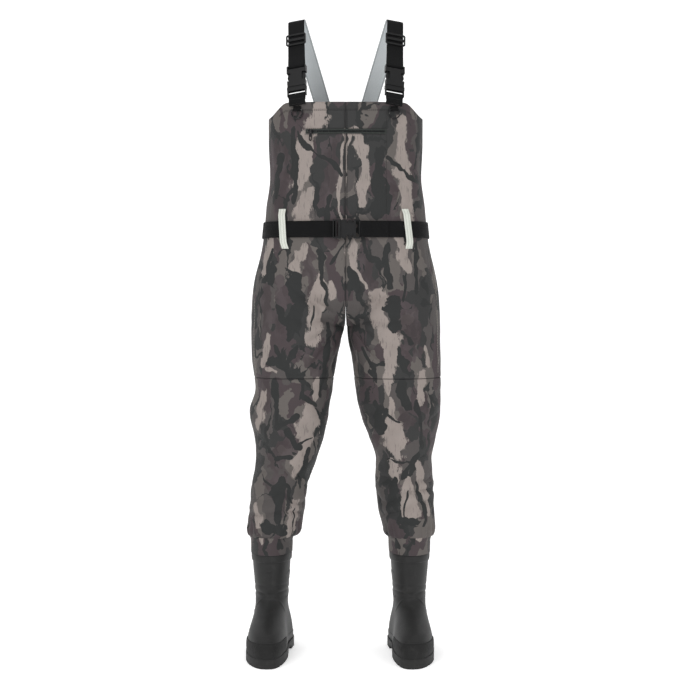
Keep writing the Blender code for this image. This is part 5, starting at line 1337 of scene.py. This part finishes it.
def belt_point(across, off, height):
    """On the front: a distance from the middle plane, and a distance off the cloth."""
    share = share_of(np.array(across), np.array(height))
    side = "left" if across >= 0 else "right"
    return body_section(side, 1, (1 - share) * math.pi / 2, np.array(height), off) + ORIGIN


def belt_webbing():
    """Sewn end, round the bar, round the body from the left to the right, and up into the ladder lock."""
    plane = BELT_STANDOFF + BELT + 0.0008 + BUCKLE_THICKNESS / 2
    resting = BELT_STANDOFF + BELT / 2
    waist = float(between(BODY_GIRTHS, np.array(BELT_Z))[0])
    bar_x = BELT_BUCKLE_X + BELT_INSERT + SEAM_GAP + BELT_HOUSING - BAR_HEIGHT / 2
    bend = BAR_HALF + 0.0006 + BELT / 2
    sewn_back = [(0.092, resting + BELT + 0.0001), (0.074, resting + BELT + 0.0001),
                 (0.056, resting + BELT + 0.0002), (bar_x + 0.007, plane + 0.0012)]
    turn = arc((bar_x + 0.001, plane), bend, 80.0, 280.0)
    under = [(bar_x + 0.008, resting + 0.0022), (0.052, resting)]
    ladder = [(-0.046, resting), (-0.0300, resting + 0.0004), (-0.0225, resting + 0.0010)]
    quarter = np.linspace(0.0, math.pi / 2, 91)
    stations = [("left", 1, a) for a in quarter[::-1]] + [("left", -1, a) for a in quarter]
    stations += [("right", -1, a) for a in quarter[::-1]] + [("right", 1, a) for a in quarter]
    away = [f < 0 or waist * math.cos(a) ** (2 / BODY_ROUNDNESS) > 0.058 for _, f, a in stations]
    stations = [station for station, kept in zip(stations, away) if kept]
    rows = []
    for height in (BELT_Z - BELT_WIDTH / 2, BELT_Z, BELT_Z + BELT_WIDTH / 2):
        front = [belt_point(x, off, height) for x, off in [*sewn_back, *turn, *under]]
        round_body = [body_section(s, f, np.array(a), np.array(height), resting) + ORIGIN for s, f, a in stations]
        last = [belt_point(x, off, height) for x, off in ladder]
        rows.append(np.array([*front, *round_body, *last]))
    belt = ribbon("waist_belt", rows[1], rows[2] - rows[0], BELT_WIDTH, BELT, BLACK_WEB, BLACK_WEB, -1.0, 13)
    print("belt", round(float(np.linalg.norm(np.diff(rows[1], axis=0), axis=1).sum()), 3), "m long")
    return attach(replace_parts(belt, "belt_webbing"), "garment")


def belt_loop(name, side, face, top_across, bottom_across):
    """A pale strip sewn down above and below the belt, bowed over it."""
    share = np.linspace(0.0, 1.0, 90)[:, None]
    edge = np.linspace(-0.5, 0.5, 11)[None]
    height = BELT_Z + LOOP_HEIGHT / 2 + 0.001 - LOOP_HEIGHT * share + 0 * edge
    across = SIDES[side] * (top_across + (bottom_across - top_across) * share + edge * LOOP_WIDTH * 1.15)
    bow = ease(np.sin(math.pi * share) * 1.9)
    lift = LAYER + (BELT_STANDOFF + BELT + LAYER) * bow + 0 * edge
    folded, outward = on_bib(face, across, height, 0.0)
    plain = smooth_cloth(side, face, share_of(across, height), height)
    points = folded * (1 - bow[..., None]) + plain * bow[..., None] + outward * (lift + LOOP)[..., None]
    return strip(name + "_strip", points, outward, LOOP, "pale_webbing", name, "garment", PALE_WEB, PALE_WEB)


belt_webbing()
for label, face, places in (("front", 1, {"right": (0.1395, 0.1350), "left": (0.1306, 0.1410)}),
                            ("back", -1, {"right": (0.1100, 0.1100), "left": (0.1100, 0.1100)})):
    for side, ends in places.items():
        print(belt_loop(f"{side}_{label}_belt_loop", side, face, *ends).name)

# %% [markdown]
# ## Moulded and metal parts
# The buckles, adjusters and rings have their final form in the CAD model, but with bare edges. Each is copied,
# its split corners merged, flat faces joined, and every sharp edge rounded by a small bevel, which is what a
# mould or a bent wire leaves. The copies ride the bodies of the model, so the buckles still open.

# %% Hardware finish
def moulded_plastic():
    """Black acetal: low gloss, a fine spark-eroded grain, and pale rub marks."""
    kit = Nodes("buckle_plastic")
    place = kit.place()
    grain = kit.noise(place, 1600.0, 3.0)
    rubs = kit.step(kit.noise(kit.stretched(place, (1.0, 1.0, 4.0)), 160.0, 4.0, 0.7), 0.62, 0.72)
    colour = kit.mix(kit.noise(place, 60.0), shade(8, 8, 9), shade(17, 17, 18))
    colour = kit.mix(kit.math("MULTIPLY", rubs, 0.12), colour, shade(66, 66, 68))
    kit.bump(grain, 0.00018, 0.35)
    return kit.finish(colour, kit.math("MULTIPLY_ADD", grain, 0.16, 0.36), gloss=0.3)


def metal(name, dark, bright, roughness):
    """Coated metal: the coat is rubbed through to the brighter base in patches, with fine scratches."""
    kit = Nodes(name)
    place = kit.place()
    patches = kit.step(kit.noise(place, 240.0, 5.0, 0.65), 0.52, 0.68)
    scratches = kit.noise(kit.stretched(place, (1.0, 1.0, 9.0)), 500.0, 3.0, 0.7)
    colour = kit.mix(kit.math("MULTIPLY", patches, 0.55), dark, bright)
    rough = kit.math("MULTIPLY_ADD", scratches, 0.22, roughness)
    kit.bump(scratches, 0.00010, 0.3)
    return kit.finish(colour, rough, metallic=0.85)


PLASTIC = moulded_plastic()
RING = metal("ring_metal", shade(44, 44, 46), shade(120, 118, 114), 0.30)
ZIP_METAL = metal("zip_metal", shade(34, 34, 36), shade(104, 102, 98), 0.34)


def rounded(node, body, slot, bevel, *materials, smooth=35.0):
    """A copy of a hard node with its corners merged, its flat faces joined and its sharp edges rounded."""
    source = bpy.data.objects[node]
    mesh = source.data.copy()
    mesh.transform(source.matrix_world)
    mesh.name = node + "_rounded"
    work = bmesh.new()
    work.from_mesh(mesh)
    bmesh.ops.remove_doubles(work, verts=work.verts, dist=1e-5)
    bmesh.ops.dissolve_limit(work, angle_limit=math.radians(1.5), verts=work.verts, edges=work.edges)
    bmesh.ops.recalc_face_normals(work, faces=work.faces)
    work.to_mesh(mesh)
    work.free()
    mesh.materials.clear()
    copy = add_object(node + "_rounded", mesh, *materials)
    mesh.set_sharp_from_angle(angle=math.radians(smooth))
    if bevel:
        edge = copy.modifiers.new("edge", "BEVEL")
        edge.width, edge.segments = bevel, 2
        edge.limit_method, edge.angle_limit = "ANGLE", math.radians(smooth)
        edge.harden_normals = True
    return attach(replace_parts(copy, node), body)


HARDWARE = []
for side in SIDES:
    HARDWARE += [
        (f"{side}_buckle_insert", "garment", "buckle_plastic", PLASTIC, 0.0004),
        (f"{side}_buckle_housing", f"{side}_strap_housing", "buckle_plastic", PLASTIC, 0.0006),
        (f"{side}_buckle_left_prong", f"{side}_strap_prong_left", "buckle_plastic", PLASTIC, 0.0004),
        (f"{side}_buckle_right_prong", f"{side}_strap_prong_right", "buckle_plastic", PLASTIC, 0.0004),
        (f"{side}_slide_adjuster", f"{side}_strap_adjuster", "buckle_plastic", PLASTIC, 0.0005),
        (f"{side}_d_ring", f"{side}_accessory_ring", "ring_metal", RING, 0.0),
        (f"{side}_outsole", "garment", "sole_rubber", SOLE_RUBBER, 0.0007),
        (f"{side}_insole", "garment", "insole_felt", FELT, 0.0006),
    ]
HARDWARE += [
    ("belt_buckle_housing", "garment", "buckle_plastic", PLASTIC, 0.0006),
    ("belt_buckle_insert", "belt_insert", "buckle_plastic", PLASTIC, 0.0004),
    ("belt_buckle_left_prong", "belt_prong_left", "buckle_plastic", PLASTIC, 0.0004),
    ("belt_buckle_right_prong", "belt_prong_right", "buckle_plastic", PLASTIC, 0.0004),
    ("zip_slider", "zip_slider", "zip_metal", ZIP_METAL, 0.0003),
    ("zip_pull", "zip_pull", "zip_metal", ZIP_METAL, 0.0003),
]
for node, body, slot, material, bevel in HARDWARE:
    rounded(node, body, slot, bevel, material)
print("rounded copies:", len(HARDWARE))

# %% [markdown]
# ## Zip
# The chest zip is two narrow tapes, each with a row of moulded teeth. A tooth is one small tapered block, and
# the two rows are half a pitch apart, so that they would mesh. They follow the cloth at a small height, low
# enough for the slider to pass over them.

# %% Zip tapes and teeth
def zip_cloth():
    """Coated zip tape: grey-green, matt, finely ribbed."""
    kit = Nodes("zip_tape")
    uv = kit.uv()
    ribs = weave(kit, uv, 0.0012)
    colour = kit.mix(kit.noise(uv, 80.0), shade(38, 42, 40), shade(52, 56, 53))
    kit.bump(ribs, 0.0002, 0.5)
    return kit.finish(colour, 0.55)


ZIP_TAPE = zip_cloth()
ZIP_START_X = ZIP_END_X - ZIP_LENGTH


def blocks(name, centres, ahead, up, outward, size, material):
    """Many small tapered blocks in one mesh: eight corners each, the outer four drawn in."""
    corner = np.array([(x, y, z) for z in (0, 1) for x, y in ((-1, -1), (1, -1), (1, 1), (-1, 1))], float)
    corner[:, :2] *= np.where(corner[:, 2:] > 0, 0.72, 1.0)
    shape = corner * [size[0] / 2, size[1] / 2, size[2]]
    points = (centres[:, None] + shape[None, :, :1] * ahead[:, None] + shape[None, :, 1:2] * up[:, None]
              + shape[None, :, 2:] * outward[:, None])
    faces = np.array([(0, 3, 2, 1), (4, 5, 6, 7), (0, 1, 5, 4), (1, 2, 6, 5), (2, 3, 7, 6), (3, 0, 4, 7)])
    flip = np.sign(np.einsum("ij,ij->i", np.cross(ahead, up), outward))
    faces = (faces[None] if flip[0] > 0 else faces[None, :, ::-1]) + 8 * np.arange(len(centres))[:, None, None]
    obj = add_object(name, make_mesh(name, points, faces.reshape(-1, 4)), material)
    obj.data.shade_flat()
    return obj


for label, low, high in (("upper", 0.00015, 0.0052), ("lower", -0.0052, -0.00015)):
    across, height = np.meshgrid(np.linspace(ZIP_START_X, ZIP_END_X, 200), np.linspace(ZIP_Z + low, ZIP_Z + high, 7))
    points, outward = on_bib(1, across, height, LAYER + 0.0009)
    tape = strip(f"zip_tape_{label}_cloth", points, outward, 0.0009, "zip_tape", f"zip_tape_{label}", "garment",
                 ZIP_TAPE)
    pitch = 0.0022
    offset = 0.0 if label == "upper" else pitch / 2
    across = np.arange(ZIP_START_X + 0.004 + offset, ZIP_END_X - 0.004, pitch)
    height = np.full_like(across, ZIP_Z + (0.0011 if label == "upper" else -0.0011))
    centres, outward = on_bib(1, across, height, LAYER + 0.0009)
    ahead = np.gradient(centres, axis=0)
    ahead /= np.linalg.norm(ahead, axis=1, keepdims=True)
    teeth = blocks(f"zip_teeth_{label}", centres, ahead, np.cross(outward, ahead), outward,
                   (0.0013, 0.0026, 0.0009), ZIP_METAL)
    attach(teeth, "garment")
    print(tape.name, "with", len(centres), "teeth")

# %% [markdown]
# ## Stitching
# A stitch is a short thick thread that dips into the cloth at both ends: three rings of five sides. Rows of
# them hold the top edge, the pocket panel, the belt loops and the strap tabs.

# %% Stitch rows
def thread(name, colour):
    kit = Nodes(name)
    place = kit.place()
    twist = kit.noise(kit.stretched(place, (1.0, 1.0, 3.0)), 2200.0, 2.0)
    kit.bump(twist, 0.0001, 0.5)
    return kit.finish(kit.mix(twist, tuple(v * 0.7 for v in colour), colour), 0.7)


DARK_THREAD, GREY_THREAD = thread("dark_thread", shade(48, 47, 47)), thread("grey_thread", shade(112, 110, 106))


def stitch_row(centres, outward, length, gap, radius):
    """Points and faces of one row of stitches along a path."""
    centres, outward = np.asarray(centres), np.asarray(outward)
    run = np.concatenate([[0.0], np.cumsum(np.linalg.norm(np.diff(centres, axis=0), axis=1))])
    starts = np.arange(0.0, run[-1] - length, length + gap)
    ring = np.radians(np.arange(5) * 72.0)
    points = []
    for share, lift, size in ((0.0, -0.4, 0.55), (0.28, 0.35, 1.0), (0.72, 0.35, 1.0), (1.0, -0.4, 0.55)):
        at = starts + share * length
        middle = np.stack([np.interp(at, run, centres[:, k]) for k in range(3)], 1)
        out = np.stack([np.interp(at, run, outward[:, k]) for k in range(3)], 1)
        ahead = np.stack([np.interp(at + 1e-4, run, centres[:, k]) for k in range(3)], 1) - middle
        ahead /= np.maximum(np.linalg.norm(ahead, axis=1, keepdims=True), 1e-9)
        beside = np.cross(ahead, out)
        beside /= np.maximum(np.linalg.norm(beside, axis=1, keepdims=True), 1e-9)
        around = beside[:, None] * np.cos(ring)[None, :, None] + out[:, None] * np.sin(ring)[None, :, None]
        points.append(middle[:, None] + out[:, None] * lift * radius + around * radius * size)
    points = np.stack(points, 1)
    index = np.arange(5)
    faces = [np.stack([index + 5 * k, (index + 1) % 5 + 5 * k, (index + 1) % 5 + 5 * k + 5, index + 5 * k + 5], 1)
             for k in range(3)]
    quads = np.concatenate(faces)[None] + 20 * np.arange(len(starts))[:, None, None]
    return points.reshape(-1, 3), quads.reshape(-1, 4)


def sew(name, rows, material, length=0.0030, gap=0.0012, radius=0.00042):
    """Several rows of stitches in one mesh, closed at their ends, on the garment."""
    points, faces, count = [], [], 0
    for centres, outward in rows:
        new_points, new_faces = stitch_row(centres, outward, length, gap, radius)
        points.append(new_points)
        faces.append(new_faces + count)
        count += len(new_points)
    mesh = make_mesh(name, np.concatenate(points), np.concatenate(faces))
    work = bmesh.new()
    work.from_mesh(mesh)
    bmesh.ops.holes_fill(work, edges=[e for e in work.edges if e.is_boundary], sides=5)
    bmesh.ops.recalc_face_normals(work, faces=work.faces)
    work.to_mesh(mesh)
    work.free()
    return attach(add_object(name, mesh, material), "garment")


def level_row(face, depth):
    """A row below the top edge, from side seam to side seam."""
    across = np.linspace(-0.148, 0.148, 300)
    edge = top_edge("left", face, share_of(across, np.full_like(across, TOP_Z)))
    return on_bib(face, across, TOP_Z - edge - depth, 0.0002)


def upright_row(face, across, top, bottom, count=260):
    """A row that runs straight down the front or back."""
    height = np.linspace(top, bottom, count)
    return on_bib(face, np.full_like(height, across), height, 0.0002)


def loop_rows(across, face, top):
    """Three short rows side by side across the end of a belt loop."""
    line = across + np.linspace(-0.0048, 0.0048, 8)
    height = BELT_Z + (0.0385 if top else -0.0375)
    return [on_bib(face, line, np.full_like(line, height + shift), LAYER + LOOP + 0.0001)
            for shift in (-0.0026, 0.0, 0.0026)]


rows = [level_row(1, 0.0165), level_row(1, 0.0190), level_row(-1, 0.0165), level_row(-1, 0.0190)]
rows += [upright_row(1, 0.0895, TOP_Z - 0.022, BELT_Z + 0.022), upright_row(1, -0.0030, TOP_Z - 0.022, BELT_Z + 0.022),
         upright_row(1, 0.0030, TOP_Z - 0.022, BELT_Z + 0.022), upright_row(-1, 0.0030, TOP_Z - 0.042, BELT_Z + 0.022),
         upright_row(-1, -0.0030, TOP_Z - 0.042, BELT_Z + 0.022)]
for level in (ZIP_Z + 0.0066, ZIP_Z - 0.0066):
    across = np.linspace(ZIP_START_X - 0.001, ZIP_END_X - 0.002, 200)
    rows.append(on_bib(1, across, np.full_like(across, level), 0.0002))
sew("garment_stitching", rows, DARK_THREAD)
tacks = []
for across, face in ((-0.1393, 1), (0.1312, 1), (-0.11, -1), (0.11, -1)):
    tacks += loop_rows(across, face, True)
for across, face in ((-0.1352, 1), (0.1405, 1), (-0.11, -1), (0.11, -1)):
    tacks += loop_rows(across, face, False)
sew("loop_bar_tacks", tacks, GREY_THREAD, 0.0024, 0.0006, 0.00036)
box = []
for side in SIDES:
    frame_of = strap_frame(side)
    line = np.linspace(-0.0165, 0.0165, 30)
    for up_at in (-0.0060, 0.0055):
        back_at = WEB_MIDDLE - STRAP - 0.0001 + (0.0026 if up_at < 0 else 0.0)
        spot = in_frame(frame_of, [(back_at, up_at)])[0]
        box.append((spot + line[:, None] * frame_of[1], np.broadcast_to(-frame_of[2], (30, 3))))
sew("tab_stitching", box, DARK_THREAD, 0.0026, 0.0010, 0.0004)
piping = []
for side, top in (("left", 0.935), ("right", 0.800)):
    height = np.linspace(top, KNEE_Z + 0.006, 260)
    piping.append(cloth(side, 1, np.full_like(height, 0.86), height, 0.0003))
sew("side_piping", piping, thread("pale_thread", shade(150, 147, 141)), 0.0060, 0.0005, 0.0006)
print("stitch rows:", len(rows) + len(tacks) + len(box))
